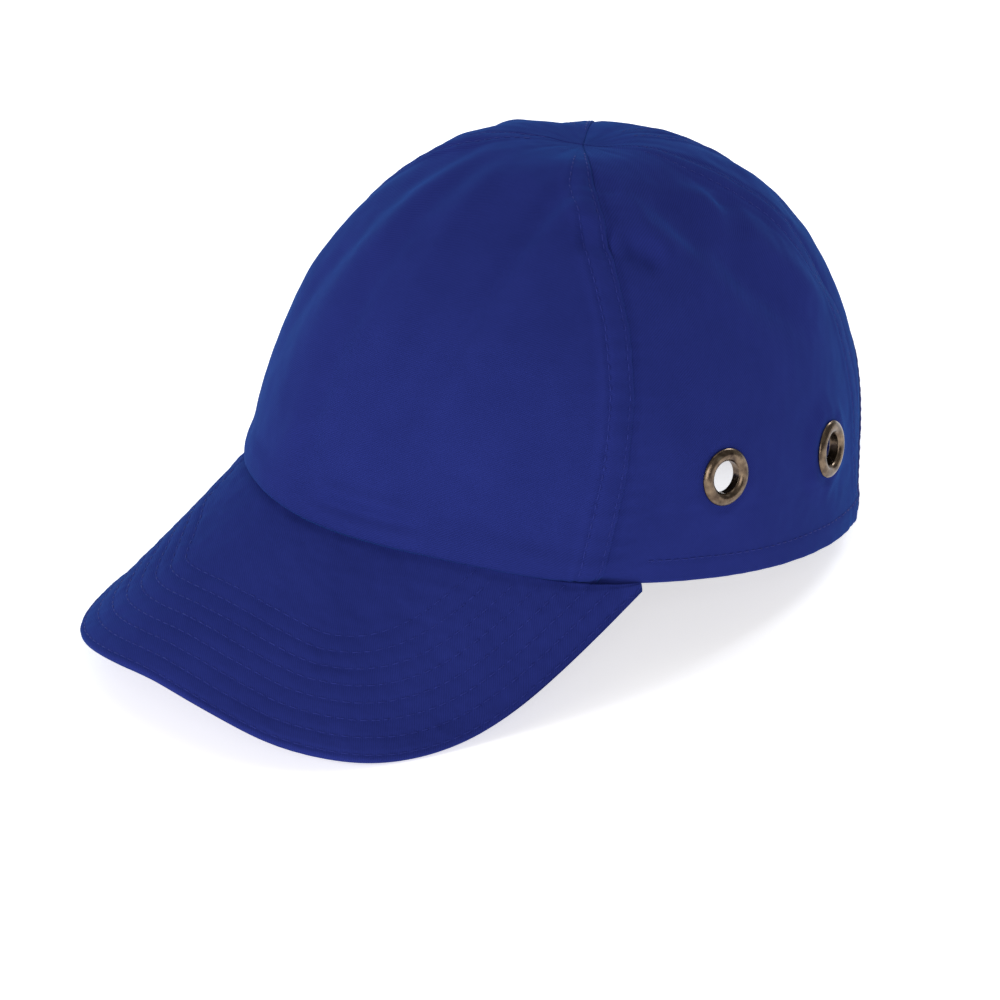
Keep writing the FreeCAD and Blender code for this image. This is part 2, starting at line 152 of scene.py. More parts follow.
# --------------------------------------------------------- smooth noise field
class Noise:
    """Seeded smooth noise in three dimensions, from a sum of sine waves."""

    def __init__(self, seed, wave, n=26, stretch=(1, 1, 1)):
        r = np.random.default_rng(seed)
        k = r.normal(size=(n, 3))
        k /= np.linalg.norm(k, axis=1, keepdims=True)
        self.k = k * (2 * np.pi / (wave * r.uniform(0.7, 1.5, (n, 1)))) / np.array(stretch)
        self.p = r.uniform(0, 2 * np.pi, n)
        self.a = 1.0 / math.sqrt(n / 2)

    def __call__(self, p):
        return np.sin(p @ self.k.T + self.p).sum(-1) * self.a


# --------------------------------------------------------------- mesh helpers
COLL = bpy.context.scene.collection


def link(me, name, mat=None, body="crown", smooth=True):
    o = bpy.data.objects.new(name, me)
    COLL.objects.link(o)
    if smooth:
        me.polygons.foreach_set("use_smooth", np.ones(len(me.polygons), bool))
    if mat:
        me.materials.append(mat)
    if body:
        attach(o, body)
    return o


def mesh_from(verts, faces, uv=None, name="m"):
    """verts in metres; faces (n, 4) or a list; uv per vertex in millimetres"""
    me = bpy.data.meshes.new(name)
    faces = np.asarray(faces, np.int32) if not isinstance(faces, list) else faces
    me.from_pydata(verts.tolist() if hasattr(verts, "tolist") else verts, [],
                   faces.tolist() if hasattr(faces, "tolist") else faces)
    if uv is not None:
        lay = me.uv_layers.new(name="UVMap")
        li = np.zeros(len(me.loops), np.int32)
        me.loops.foreach_get("vertex_index", li)
        lay.data.foreach_set("uv", np.asarray(uv, np.float32)[li].ravel())
    me.validate()
    me.update()
    return me


def grid_faces(nu, nv, base=0, flip=False, wrap_u=False):
    i, j = np.meshgrid(np.arange(nu if wrap_u else nu - 1), np.arange(nv - 1), indexing="ij")
    a = i * nv + j
    b = ((i + 1) % nu) * nv + j
    f = np.stack([a, b, b + 1, a + 1], -1).reshape(-1, 4) + base
    return f[:, ::-1] if flip else f


def slab_mesh(outer, inner, uv, name, flip=False):
    """A thin closed piece from two grids (nu, nv, 3) in the wearing frame."""
    nu, nv = outer.shape[:2]
    n = nu * nv
    fo = grid_faces(nu, nv, 0, flip)
    fi = grid_faces(nu, nv, n, not flip)
    rim = []
    idx = np.arange(n).reshape(nu, nv)
    loop = np.concatenate([idx[:, 0], idx[-1, 1:], idx[-2::-1, -1], idx[0, -2:0:-1]])
    nxt = np.roll(loop, -1)
    rim = np.stack([loop, loop + n, nxt + n, nxt], -1)
    if flip:
        rim = rim[:, ::-1]
    verts = world(np.concatenate([outer.reshape(-1, 3), inner.reshape(-1, 3)]))
    uvs = np.concatenate([uv.reshape(-1, 2), uv.reshape(-1, 2)])
    return mesh_from(verts, np.concatenate([fo, fi, rim]), uvs, name)


# ------------------------------------------------------------------ materials
def new_mat(name):
    m = bpy.data.materials.new(name)
    m.use_nodes = True
    nt = m.node_tree
    nt.nodes.clear()
    out = nt.nodes.new("ShaderNodeOutputMaterial")
    b = nt.nodes.new("ShaderNodeBsdfPrincipled")
    nt.links.new(b.outputs[0], out.inputs[0])
    return m, nt, b


def math_node(nt, op, a, b=None):
    n = nt.nodes.new("ShaderNodeMath")
    n.operation = op
    for i, v in enumerate((a, b)):
        if v is None:
            continue
        if hasattr(v, "links") or hasattr(v, "is_output"):
            nt.links.new(v, n.inputs[i])
        else:
            n.inputs[i].default_value = v
    return n.outputs[0]


def mix_col(nt, fac, a, b, mode="MIX"):
    n = nt.nodes.new("ShaderNodeMix")
    n.data_type = "RGBA"
    n.blend_type = mode
    if hasattr(fac, "is_output"):
        nt.links.new(fac, n.inputs[0])
    else:
        n.inputs[0].default_value = fac
    for i, v in ((6, a), (7, b)):
        if hasattr(v, "is_output"):
            nt.links.new(v, n.inputs[i])
        else:
            n.inputs[i].default_value = (*v, 1.0)
    return n.outputs[2]


def twill(name, col, pitch=0.62, angle=52.0, depth=0.10, rough=0.95, sheen=0.19,
          sheen_tint=(0.0, 0.36, 1.0), fade=0.16, worn=0.0, strength=0.55):
    """Cotton twill. UVs are in millimetres, so the weave has its real pitch."""
    m, nt, b = new_mat(name)
    uvn = nt.nodes.new("ShaderNodeUVMap")
    uvn.uv_map = "UVMap"
    tc = nt.nodes.new("ShaderNodeTexCoord")
    # slight waviness of the yarns
    no = nt.nodes.new("ShaderNodeTexNoise")
    no.inputs["Scale"].default_value = 0.12
    no.inputs["Detail"].default_value = 2.0
    nt.links.new(uvn.outputs[0], no.inputs["Vector"])
    mp = nt.nodes.new("ShaderNodeVectorMath")
    mp.operation = "MULTIPLY_ADD"
    nt.links.new(no.outputs["Color"], mp.inputs[0])
    mp.inputs[1].default_value = (1.2, 1.2, 0)
    nt.links.new(uvn.outputs[0], mp.inputs[2])
    rot = nt.nodes.new("ShaderNodeVectorRotate")
    rot.rotation_type = "Z_AXIS"
    rot.inputs["Angle"].default_value = rad(angle)
    nt.links.new(mp.outputs[0], rot.inputs["Vector"])
    sep = nt.nodes.new("ShaderNodeSeparateXYZ")
    nt.links.new(rot.outputs[0], sep.inputs[0])
    # diagonal ribs
    rib = math_node(nt, "SINE", math_node(nt, "MULTIPLY", sep.outputs[0], 2 * math.pi / pitch))
    # the single yarns that step along each rib
    sep2 = nt.nodes.new("ShaderNodeSeparateXYZ")
    nt.links.new(mp.outputs[0], sep2.inputs[0])
    yarn = math_node(nt, "SINE", math_node(nt, "MULTIPLY", sep2.outputs[1], 2 * math.pi / (pitch * 0.62)))
    weave = math_node(nt, "ADD", math_node(nt, "MULTIPLY", rib, 0.35), math_node(nt, "MULTIPLY", yarn, 0.12))
    fuzz = nt.nodes.new("ShaderNodeTexNoise")
    fuzz.inputs["Scale"].default_value = 1.7
    fuzz.inputs["Detail"].default_value = 3.0
    nt.links.new(uvn.outputs[0], fuzz.inputs["Vector"])
    hgt = math_node(nt, "ADD", weave, math_node(nt, "MULTIPLY", fuzz.outputs["Fac"], 0.55))
    bp = nt.nodes.new("ShaderNodeBump")
    bp.inputs["Strength"].default_value = strength
    bp.inputs["Distance"].default_value = depth / 1000.0
    nt.links.new(hgt, bp.inputs["Height"])
    nt.links.new(bp.outputs[0], b.inputs["Normal"])
    # colour: yarn-scale variation, broad fading, wash marks
    dark = tuple(c * 0.72 for c in col)
    lite = tuple(min(c * 1.30 + 0.002, 1) for c in col)
    f1 = math_node(nt, "ADD", math_node(nt, "MULTIPLY", weave, 0.9), 0.5)
    f1 = math_node(nt, "MULTIPLY", f1, 0.55)
    c1 = mix_col(nt, f1, dark, lite)
    broad = nt.nodes.new("ShaderNodeTexNoise")
    broad.inputs["Scale"].default_value = 0.045
    broad.inputs["Detail"].default_value = 4.0
    broad.inputs["Roughness"].default_value = 0.6
    nt.links.new(uvn.outputs[0], broad.inputs["Vector"])
    f2 = math_node(nt, "MULTIPLY", math_node(nt, "SUBTRACT", broad.outputs["Fac"], 0.35), fade * 3)
    c2 = mix_col(nt, f2, c1, tuple(min(c * 1.45 + 0.004, 1) for c in col))
    speck = nt.nodes.new("ShaderNodeTexNoise")
    speck.inputs["Scale"].default_value = 0.9
    speck.inputs["Detail"].default_value = 2.0
    nt.links.new(uvn.outputs[0], speck.inputs["Vector"])
    f3 = math_node(nt, "MULTIPLY", math_node(nt, "SUBTRACT", speck.outputs["Fac"], 0.5), 0.55)
    c3 = mix_col(nt, f3, c2, dark)
    nt.links.new(c3, b.inputs["Base Color"])
    b.inputs["Roughness"].default_value = rough
    b.inputs["Specular IOR Level"].default_value = 0.03
    b.inputs["Sheen Weight"].default_value = sheen
    b.inputs["Sheen Roughness"].default_value = 0.32
    b.inputs["Sheen Tint"].default_value = (*sheen_tint, 1.0)
    return m


NAVY = (0.0200, 0.0300, 0.196)
MAT_CLOTH = twill("cloth_twill", NAVY)
MAT_VISOR = twill("visor_twill", tuple(c * 1.03 for c in NAVY), angle=40.0)
MAT_UNDER = twill("visor_under_twill", tuple(c * 0.92 for c in NAVY), angle=38.0)
MAT_LINING = twill("inner_cloth", tuple(c * 0.80 for c in NAVY), sheen=0.15)


def thread_mat(name, col):
    m, nt, b = new_mat(name)
    tc = nt.nodes.new("ShaderNodeTexCoord")
    no = nt.nodes.new("ShaderNodeTexNoise")
    no.inputs["Scale"].default_value = 900.0
    nt.links.new(tc.outputs["Object"], no.inputs["Vector"])
    c = mix_col(nt, no.outputs["Fac"], tuple(x * 0.7 for x in col), tuple(x * 1.4 for x in col))
    nt.links.new(c, b.inputs["Base Color"])
    bp = nt.nodes.new("ShaderNodeBump")
    bp.inputs["Strength"].default_value = 0.5
    bp.inputs["Distance"].default_value = 0.00008
    nt.links.new(no.outputs["Fac"], bp.inputs["Height"])
    nt.links.new(bp.outputs[0], b.inputs["Normal"])
    b.inputs["Roughness"].default_value = 0.6
    b.inputs["Specular IOR Level"].default_value = 0.12
    return m


MAT_THREAD = thread_mat("thread_navy", tuple(c * 1.08 for c in NAVY))


def brass_mat():
    m, nt, b = new_mat("antique_brass")
    tc = nt.nodes.new("ShaderNodeTexCoord")
    n1 = nt.nodes.new("ShaderNodeTexNoise")
    n1.inputs["Scale"].default_value = 420.0
    n1.inputs["Detail"].default_value = 5.0
    nt.links.new(tc.outputs["Object"], n1.inputs["Vector"])
    n2 = nt.nodes.new("ShaderNodeTexNoise")
    n2.inputs["Scale"].default_value = 2600.0
    n2.inputs["Detail"].default_value = 2.0
    nt.links.new(tc.outputs["Object"], n2.inputs["Vector"])
    rp = nt.nodes.new("ShaderNodeValToRGB")
    rp.color_ramp.elements[0].position = 0.30
    rp.color_ramp.elements[0].color = (0.070, 0.048, 0.036, 1)
    rp.color_ramp.elements[1].position = 0.72
    rp.color_ramp.elements[1].color = (0.27, 0.195, 0.13, 1)
    nt.links.new(n1.outputs["Fac"], rp.inputs[0])
    geo = nt.nodes.new("ShaderNodeNewGeometry")
    edge = nt.nodes.new("ShaderNodeMapRange")
    edge.inputs["From Min"].default_value = 0.50
    edge.inputs["From Max"].default_value = 0.58
    nt.links.new(geo.outputs["Pointiness"], edge.inputs["Value"])
    c = mix_col(nt, math_node(nt, "MULTIPLY", edge.outputs[0], 0.5), rp.outputs[0], (0.50, 0.41, 0.30))
    nt.links.new(c, b.inputs["Base Color"])
    b.inputs["Metallic"].default_value = 1.0
    ro = nt.nodes.new("ShaderNodeMapRange")
    ro.inputs["To Min"].default_value = 0.17
    ro.inputs["To Max"].default_value = 0.36
    nt.links.new(n1.outputs["Fac"], ro.inputs["Value"])
    nt.links.new(ro.outputs[0], b.inputs["Roughness"])
    bp = nt.nodes.new("ShaderNodeBump")
    bp.inputs["Strength"].default_value = 0.25
    bp.inputs["Distance"].default_value = 0.00006
    nt.links.new(n2.outputs["Fac"], bp.inputs["Height"])
    nt.links.new(bp.outputs[0], b.inputs["Normal"])
    return m


MAT_BRASS = brass_mat()

# -------------------------------------------------------------- crown relief
FRONT_SEAM, REAR_SEAM = 60.3, 145.0


def front_seam(w):
    """The side seam leans forward towards the top, degrees."""
    return np.interp(w, [0, 0.08, 0.2, 0.33, 0.46, 0.59, 0.73, 0.9, 1.0],
                     [57.0, 58.4, 60.4, 61.4, 60.6, 57.4, 53.9, 51.0, 50.0])


def rear_seam(w):
    return np.interp(w, [0, 0.3, 0.6, 0.8, 1.0], [145.0, 145.0, 143.0, 140.0, 138.0])


def radius_at(ph, w):
    p = crown(ph, w)
    uu = np.clip(p[..., 2] / H, 0, 1)
    return np.hypot(p[..., 0], p[..., 1] - YA * uu ** 1.5)


EYELETS = [(84.7, 32.65), (122.2, 32.65)]
N_BIG = Noise(3, 46.0, 22, (1, 1, 1.6))
N_MID = Noise(5, 19.0, 28, (1, 1, 1.8))
N_SMALL = Noise(8, 7.0, 34)
N_PUCK = Noise(12, 7.5, 30)


def line_dist(ph_deg, w, poly):
    """signed arc distance (mm) from a crease that runs up the meridian, and how far along it (0..1)"""
    ws = np.array([p[1] for p in poly])
    ps = np.array([p[0] for p in poly])
    o = np.argsort(ws)
    line = np.interp(w, ws[o], ps[o])
    r = radius_at(np.radians(ph_deg), w)
    t = (w - ws.min()) / (ws.max() - ws.min())
    return np.radians(ph_deg - line) * r, t


# broad swells and hollows: (degrees, w, spread in degrees, spread in w, mm)
SWELLS = [
    (-40, 0.48, 26, 0.20, -1.25), (-78, 0.755, 14, 0.07, 0.7), (8, 0.80, 30, 0.09, 0.35), (-20, 0.10, 14, 0.06, 0.5),
    (138, 0.27, 17, 0.13, -1.9), (138, 0.00, 22, 0.055, 1.3), (138, 0.74, 26, 0.11, 1.2), (-160, 0.85, 16, 0.07, 1.0),
    (-138, 0.27, 17, 0.13, -1.2), (-128, 0.81, 16, 0.06, -1.2), (90, 0.86, 26, 0.07, 0.5), (60, 0.50, 8, 0.25, 0.25),
]
# soft folds of the cloth that climb it: (polyline of (degrees, w), width, depth)
CREASES = [
    ([(-13, 0.84), (-9, 0.70), (-6, 0.58), (-5, 0.43), (-4, 0.28), (-3, 0.12), (-2, 0.02)], 3.8, -1.35),
    ([(0, 0.84), (4, 0.70), (7, 0.58), (8, 0.43), (8, 0.28), (9, 0.12), (10, 0.02)], 3.8, 1.25),
    ([(39, 0.82), (33, 0.69), (28, 0.58), (24.5, 0.47), (21.5, 0.376), (19, 0.30), (16.5, 0.20)], 3.3, -1.55),
    ([(50, 0.82), (43, 0.70), (36, 0.59), (31, 0.48), (27.5, 0.387), (24.5, 0.306), (21, 0.20)], 3.5, 1.45),
    ([(41, 0.76), (38, 0.704), (31.8, 0.595), (27.5, 0.49), (24.2, 0.387), (21.5, 0.306), (20, 0.26)], 1.8, 0.55),
    ([(82, 0.80), (93, 0.69), (103, 0.56), (115, 0.45), (122, 0.38)], 5.4, -1.65),
    ([(102, 0.80), (112, 0.70), (120, 0.58), (130, 0.47), (136, 0.40)], 5.4, 1.55),
    ([(66, 0.78), (76, 0.68), (88, 0.56), (99, 0.46), (107, 0.38)], 5.0, 0.95),
    ([(120, 0.84), (127, 0.74), (138, 0.56), (143, 0.46), (146, 0.38)], 5.0, -1.15),
    ([(-30, 0.88), (-26, 0.70), (-24, 0.5), (-27, 0.3), (-29, 0.12)], 4.8, -0.95),
    ([(-20, 0.88), (-16, 0.70), (-14, 0.5), (-16, 0.3), (-18, 0.10)], 4.8, 0.55),
    ([(-46, 0.85), (-43, 0.65), (-40, 0.45), (-38, 0.25)], 5.0, 0.75),
    ([(-74, 0.84), (-86, 0.68), (-96, 0.54), (-106, 0.42)], 5.2, -1.2),
    ([(-88, 0.84), (-100, 0.68), (-110, 0.54), (-120, 0.42)], 5.2, 1.1),
    ([(-118, 0.84), (-124, 0.7), (-134, 0.5), (-139, 0.36)], 5.2, -0.9),
    ([(162, 0.86), (160, 0.72), (163, 0.56), (166, 0.46)], 5.0, 0.7),
    ([(-158, 0.86), (-163, 0.72), (-160, 0.56), (-164, 0.46)], 5.0, -0.7),
]
# folds that run across it: ((deg, w), (deg, w), width, depth)
FOLDS = [
    ((44, 0.634), (58, 0.627), 2.8, -1.50),
    ((59, 0.634), (73, 0.582), 3.0, -1.80),
    ((73, 0.740), (94, 0.605), 4.4, -1.75),
    ((65, 0.690), (80, 0.590), 2.8, 1.10),
    ((38, 0.705), (58, 0.675), 2.6, 1.10),
    ((46, 0.800), (66, 0.770), 3.0, -0.80),
    ((20, 0.800), (44, 0.780), 3.2, -0.45),
    ((1, 0.078), (22, 0.085), 1.7, 1.15),
    ((1, 0.052), (24, 0.056), 1.5, -1.35),
    ((-12, 0.12), (2, 0.20), 2.6, 0.6),
    ((-30, 0.065), (-8, 0.050), 1.8, 0.60),
    ((30, 0.065), (48, 0.045), 1.8, 0.40),
    ((123, 0.735), (111, 0.620), 3.6, -1.60),
    ((-80, 0.66), (-66, 0.58), 2.8, -1.0),
    ((150, 0.62), (172, 0.50), 4.0, -0.8),
    ((-168, 0.66), (-150, 0.52), 4.0, 0.7),
]


def seam_relief(s, along, side, pk=1.0):
    """Height of a felled seam at signed arc distance s; the band lies at s > 0."""
    rise = 0.66 * (1 - sstep(s, 8.8, 12.5)) * sstep(s, -0.5, 0.7)
    rows = -0.36 * bump(s - 1.8, 0.6) - 0.34 * bump(s - 8.4, 0.7) + 0.16 * bump(s - 5.0, 1.6)
    dip = -0.36 * bump(s + 0.7, 0.9)
    puck = 0.17 * np.sin(along * 2 * np.pi / 6.3 + 1.3 * np.sin(along / 9.0) + side) * bump(s - 4.5, 4.6)
    puck += 0.15 * np.sin(along * 2 * np.pi / 4.1 + 2.1 * np.sin(along / 13.0) + 2 * side) * bump(s + 2.8, 3.2)
    puck += 0.10 * np.sin(along * 2 * np.pi / 3.05 + side) * (bump(s - 1.8, 1.3) + bump(s - 8.4, 1.4))
    return rise + rows + dip + pk * puck


def eyelet_frame(a, z):
    ph = np.array(math.radians(a))
    w = w_of(ph, np.array(z))
    return crown(ph, w), crown_n(ph, w)


EY_FRAMES = [eyelet_frame(a, z) for a, z in EYELETS]


def relief(ph_deg, w):
    """Displacement of the crown's cloth along the normal, mm."""
    ph_deg = np.asarray(ph_deg, float)
    ph = np.radians(ph_deg)
    p = crown(ph, w)
    z = p[..., 2]
    zr = z - hem_z(ph)
    r = radius_at(ph, w)
    k = np.clip(r / 34.0, 0.12, 1.0)      # seams gather towards the apex
    along = w * 150.0
    a = np.abs(ph_deg)
    # broad softness of the cloth
    d = 0.40 * N_BIG(p) + 0.15 * N_MID(p) * (0.5 + 0.5 * sstep(w, 0.4, 0.8))
    d *= sstep(zr, 0, 14) * 0.8 + 0.2
    d *= 1 - 0.75 * sstep(w, 0.86, 0.98)
    for a0, w0, sa, sw, amp in SWELLS:
        da = np.abs((ph_deg - a0 + 180.0) % 360.0 - 180.0)
        d = d + amp * bump(da, sa) * bump(w - w0, sw)
    for poly, wd, dep in CREASES:
        x, t = line_dist(ph_deg, w, poly)
        d = d + dep * bump(x, wd) * sstep(t, 0.0, 0.22) * (1 - sstep(t, 0.80, 1.0))
    for (a0, w0), (a1, w1), wd, dep in FOLDS:
        c0, c1 = crown(np.radians(a0), np.array(w0)), crown(np.radians(a1), np.array(w1))
        ax = c1 - c0
        L = np.linalg.norm(ax)
        ax = ax / L
        q = p - c0
        t = (q @ ax) / L
        nn = crown_n(np.radians((a0 + a1) / 2), np.array((w0 + w1) / 2))
        x = q @ np.cross(ax, nn)
        dist = np.abs(q @ nn)
        d = d + dep * bump(x, wd) * sstep(t, -0.05, 0.25) * (1 - sstep(t, 0.75, 1.05)) * (dist < 25)
    # cloth held flat under each eyelet's flange, with small puckers round it
    for c, n in EY_FRAMES:
        for sg in (1, -1):
            m = np.array([sg, 1, 1])
            cc, nn = c * m, n * m
            q = p - cc
            t = np.array([nn[1], -nn[0], 0.0])
            t /= np.linalg.norm(t)
            up = np.cross(nn, t)
            x, y = q @ t, q @ up
            rho = np.hypot(x, y)
            th = np.arctan2(y, x)
            near = (np.sign(ph_deg) == sg) * (np.linalg.norm(q, axis=-1) < 40)
            d = d * (1 - near * (1 - sstep(rho, 9.5, 19)))
            d = d + near * (-(q @ nn) * (1 - sstep(rho, 9.0, 14.5)) - 0.10 * (1 - sstep(rho, 9.2, 9.8))
                            - 0.34 * bump(rho - 9.8, 0.7)
                            + (0.20 + 0.13 * np.cos(6 * th + 2 * sg) + 0.08 * np.cos(11 * th)) * bump(rho - 13.0, 2.4))
    # side seams, rear seams, centre-back seam
    s = np.radians(front_seam(w) - a) * r / k
    top = 0.12 + 0.88 * sstep(r, 12.0, 44.0)
    d = d + seam_relief(s, along, np.sign(ph_deg), np.where(ph_deg > 0, 1.0, 0.35)) * (0.35 + 0.65 * k) * top
    s2 = np.radians(rear_seam(w) - a) * r / k
    d = d + seam_relief(s2, along + 40, np.sign(ph_deg) * 2, 0.35) * 0.60 * (0.3 + 0.7 * k) * top
    s3 = np.radians(180 - a) * r / k
    d = d + (0.55 * (1 - sstep(s3, 5.2, 7.2)) - 0.45 * bump(s3, 0.8) - 0.28 * bump(s3 - 4.6, 0.55)) * (0.3 + 0.7 * k) * top
    # hem: topstitched fold
    open_hem = sstep(a, 61.5, 66.0)
    d = d + open_hem * (-0.20 * bump(zr - 7.4, 0.6) + 0.32 * (1 - sstep(zr, 6.4, 9.0)) - 0.16 * bump(zr - 22.3, 0.8))
    # the front panel swells a little over the visor join, then tucks under
    fr = 1 - sstep(a, 46, 59)
    d = d + (1 - sstep(a, 58, 66)) * (0.85 * bump(zr - 7.2, 3.0) - (1.9 + 0.9 * fr) * (1 - sstep(zr, 1.2 - 0.7 * fr, 5.0 - 1.9 * fr)))
    d = d + fr * 1.0 * bump(zr - 3.0, 4.0)
    # gathers that run out from the apex
    fade = sstep(w, 0.74, 0.90) * (1 - 0.5 * sstep(w, 0.93, 1.0))
    d = d + 0.07 * fade * np.sin(11 * ph + 1.2 * np.sin(3 * ph)) + 0.03 * fade * np.sin(23 * ph + 2.0 * np.sin(2 * ph + 1))
    d = d * sstep(r, -2.0, 14.0) - 3.3 * bump(r, 12.5)
    return d + 0.045 * N_SMALL(p)


def rows_of(n_mm, fine_at, lo, hi, fine=0.7, coarse=1.6, reach=13.0):
    """Sample positions from lo to hi (mm), closer together near the given places."""
    x, out = lo, [lo]
    while x < hi:
        dmin = min([abs(x - f) for f in fine_at] + [1e9])
        x += fine + (coarse - fine) * min(dmin / reach, 1.0)
        out.append(min(x, hi))
    return np.array(out)


ROW_MM = np.concatenate([[0, 0.12, 0.3, 0.55, 0.85, 1.2, 1.6, 2.1], rows_of(0, [7.0, 11.5, 22.3], 2.7, 150, 0.75, 1.5, 12)])
ROWS_W = np.concatenate([ROW_MM / 158.0, [0.962, 0.973, 0.982, 0.989, 0.994, 0.9975, 0.9992]])


def panel(a_of, b_of, fine_mm, sign=1, mid=None, hem=True):
    """Outer and inner grids of a crown panel that runs from a_of(w) to b_of(w), in degrees."""
    span = np.radians(b_of(0.2) - a_of(0.2)) * 95.0
    fa = [f if f >= 0 else span + f for f in fine_mm]
    t = rows_of(0, fa, 0, span, 0.6, 1.6, 12) / span
    W = np.broadcast_to(ROWS_W[None, :], (len(t), len(ROWS_W)))
    PHD = a_of(W) + (b_of(W) - a_of(W)) * t[:, None]
    ph = np.radians(PHD) * sign
    r = radius_at(ph, W)
    zr = crown(ph, W)[..., 2] - hem_z(ph)
    D = relief(PHD * sign, W)
    n = crown_n(ph, W)
    C = crown(ph, W)
    hemw = (sstep(np.abs(PHD), 61.5, 66.0) if hem else 0.0)
    thick = 1.15 + hemw * 0.85 * (1 - sstep(zr, 7.8, 9.5))
    if hem:      # over the visor the fold hangs a little lower
        C[..., 2] -= 2.9 * (1 - sstep(np.abs(PHD), 46, 59)) * (1 - sstep(zr, 1.0, 8.0))
    out = C + n * D[..., None]
    inn = C + n * np.minimum(0.35 * np.clip(D, -1.5, 0.4) - thick, D - 0.45)[..., None]
    # rounded bottom fold
    x = np.clip(zr / 1.0, 0, 1)
    roll = hemw * 0.94 * (1 - np.sqrt(1 - (1 - x) ** 2))
    out = out - n * roll[..., None] if hem else out
    inn = inn + n * roll[..., None] if hem else inn
    m = (a_of(0.2) + b_of(0.2)) / 2 if mid is None else mid
    mp = crown(np.radians(np.full_like(ROWS_W, m)), ROWS_W)
    v = np.concatenate([[0], np.cumsum(np.linalg.norm(np.diff(mp, axis=0), axis=1))])
    U = np.stack([np.radians(PHD - m) * r * sign, np.broadcast_to(v[None, :], W.shape)], -1)
    return dict(out=out, inn=inn, uv=U, phd=PHD, w=W, n=n, r=r, sign=sign)


def sink(g, edge_fn, toward=1, depth=1.0):
    """The under-panel dips beneath the lap."""
    s = np.radians(g["phd"] - edge_fn(g["w"])) * g["r"] * toward
    m = (depth * (1 - sstep(s, -0.6, 0.45)))[..., None] * g["n"]
    g["out"] = g["out"] - m
    g["inn"] = g["inn"] - m * 0.9


def lap_edge(g, edge_fn, both=False, depth=1.25):
    """The over-panel rolls down at its edge."""
    phd = np.abs(g["phd"]) if both else g["phd"]
    s = np.radians(edge_fn(g["w"]) - phd) * g["r"]
    roll = depth * (0.25 + 0.75 * sstep(g["r"], 12, 42)) * (1 - np.sqrt(np.clip(1 - (1 - np.clip(s / 0.9, 0, 1)) ** 2, 0, 1)))
    g["out"] = g["out"] - g["n"] * roll[..., None]


back_b = lambda w: 180.0 + 0 * w


def grid_piece(g, name, node):
    me = slab_mesh(g["out"], g["inn"], g["uv"], name, g["sign"] < 0)
    o = link(me, name, MAT_CLOTH, "crown")
    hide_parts(node)
    return o


def cut_with(o, cutter_bm):
    """Cut a closed form out of a piece."""
    cm = bpy.data.meshes.new("cutter")
    cutter_bm.to_mesh(cm)
    cutter_bm.free()
    co = bpy.data.objects.new("cutter", cm)
    COLL.objects.link(co)
    md = o.modifiers.new("cut", "BOOLEAN")
    md.operation = "DIFFERENCE"
    md.solver = "EXACT"
    md.object = co
    dg = bpy.context.evaluated_depsgraph_get()
    new = bpy.data.meshes.new_from_object(o.evaluated_get(dg))
    o.modifiers.clear()
    old = o.data
    o.data = new
    bpy.data.meshes.remove(old)
    bpy.data.objects.remove(co)
    bpy.data.meshes.remove(cm)
    while len(new.materials) > 1:
        new.materials.pop(index=len(new.materials) - 1)
    new.polygons.foreach_set("material_index", np.zeros(len(new.polygons), np.int32))
    new.polygons.foreach_set("use_smooth", np.ones(len(new.polygons), bool))


def round_cutter(c, n, radius, depth=14.0):
    bm = bmesh.new()
    bmesh.ops.create_cone(bm, cap_ends=True, segments=40, radius1=radius / 1000, radius2=radius / 1000,
                          depth=depth / 1000)
    z = Vector(n).normalized()
    bm.transform(Matrix.Translation(Vector(c)) @ z.to_track_quat("Z", "Y").to_matrix().to_4x4())
    return bm


def nworld(n):
    return np.array([n[0], n[1] * CT - n[2] * ST, n[1] * ST + n[2] * CT])


EYE = {}
for sign, sd in ((1, "left"), (-1, "right")):
    for nm, (c, n) in zip(("front", "rear"), EY_FRAMES):
        m = np.array([sign, 1, 1])
        EYE[nm + "_" + sd] = (c * m, n * m)

ARCH_W, ARCH_H, ARCH_P = 45.0, 64.0, 2.4


def arch_xz(t, grow=0.0):
    c, s = np.cos(t), np.sin(t)
    x = ARCH_W * np.abs(c) ** (2 / ARCH_P) * np.where(c >= 0, 1, -1)
    z = ARCH_H * np.abs(s) ** (2 / ARCH_P)
    nx = np.abs(x / ARCH_W) ** (ARCH_P - 1) / ARCH_W * np.where(x >= 0, 1, -1)
    nz = np.abs(z / ARCH_H) ** (ARCH_P - 1) / ARCH_H
    k = np.hypot(nx, nz)
    return x + grow * nx / k, z + grow * nz / k


def back_ph(x, z):
    """The angle of the back of the crown at a given x and height."""
    ax = np.abs(x)
    lo, hi = np.full_like(ax, math.pi / 2), np.full_like(ax, math.pi)
    for _ in range(46):
        mid = (lo + hi) / 2
        big = at_height(mid, z)[..., 0] > ax
        lo, hi = np.where(big, mid, lo), np.where(big, hi, mid)
    return (lo + hi) / 2


def arch_cutter():
    t = np.linspace(0, np.pi, 91)
    x, z = arch_xz(t)
    ring = np.concatenate([np.stack([x, z], -1), [[-ARCH_W, -14.0]], [[ARCH_W, -14.0]]])
    bm = bmesh.new()
    A = [bm.verts.new(world(np.array([p[0], 50.0, p[1]]))) for p in ring]
    Bv = [bm.verts.new(world(np.array([p[0], 150.0, p[1]]))) for p in ring]
    bm.faces.new(A)
    bm.faces.new(Bv[::-1])
    for i in range(len(ring)):
        j = (i + 1) % len(ring)
        bm.faces.new((A[i], Bv[i], Bv[j], A[j]))
    bmesh.ops.recalc_face_normals(bm, faces=bm.faces)
    return bm


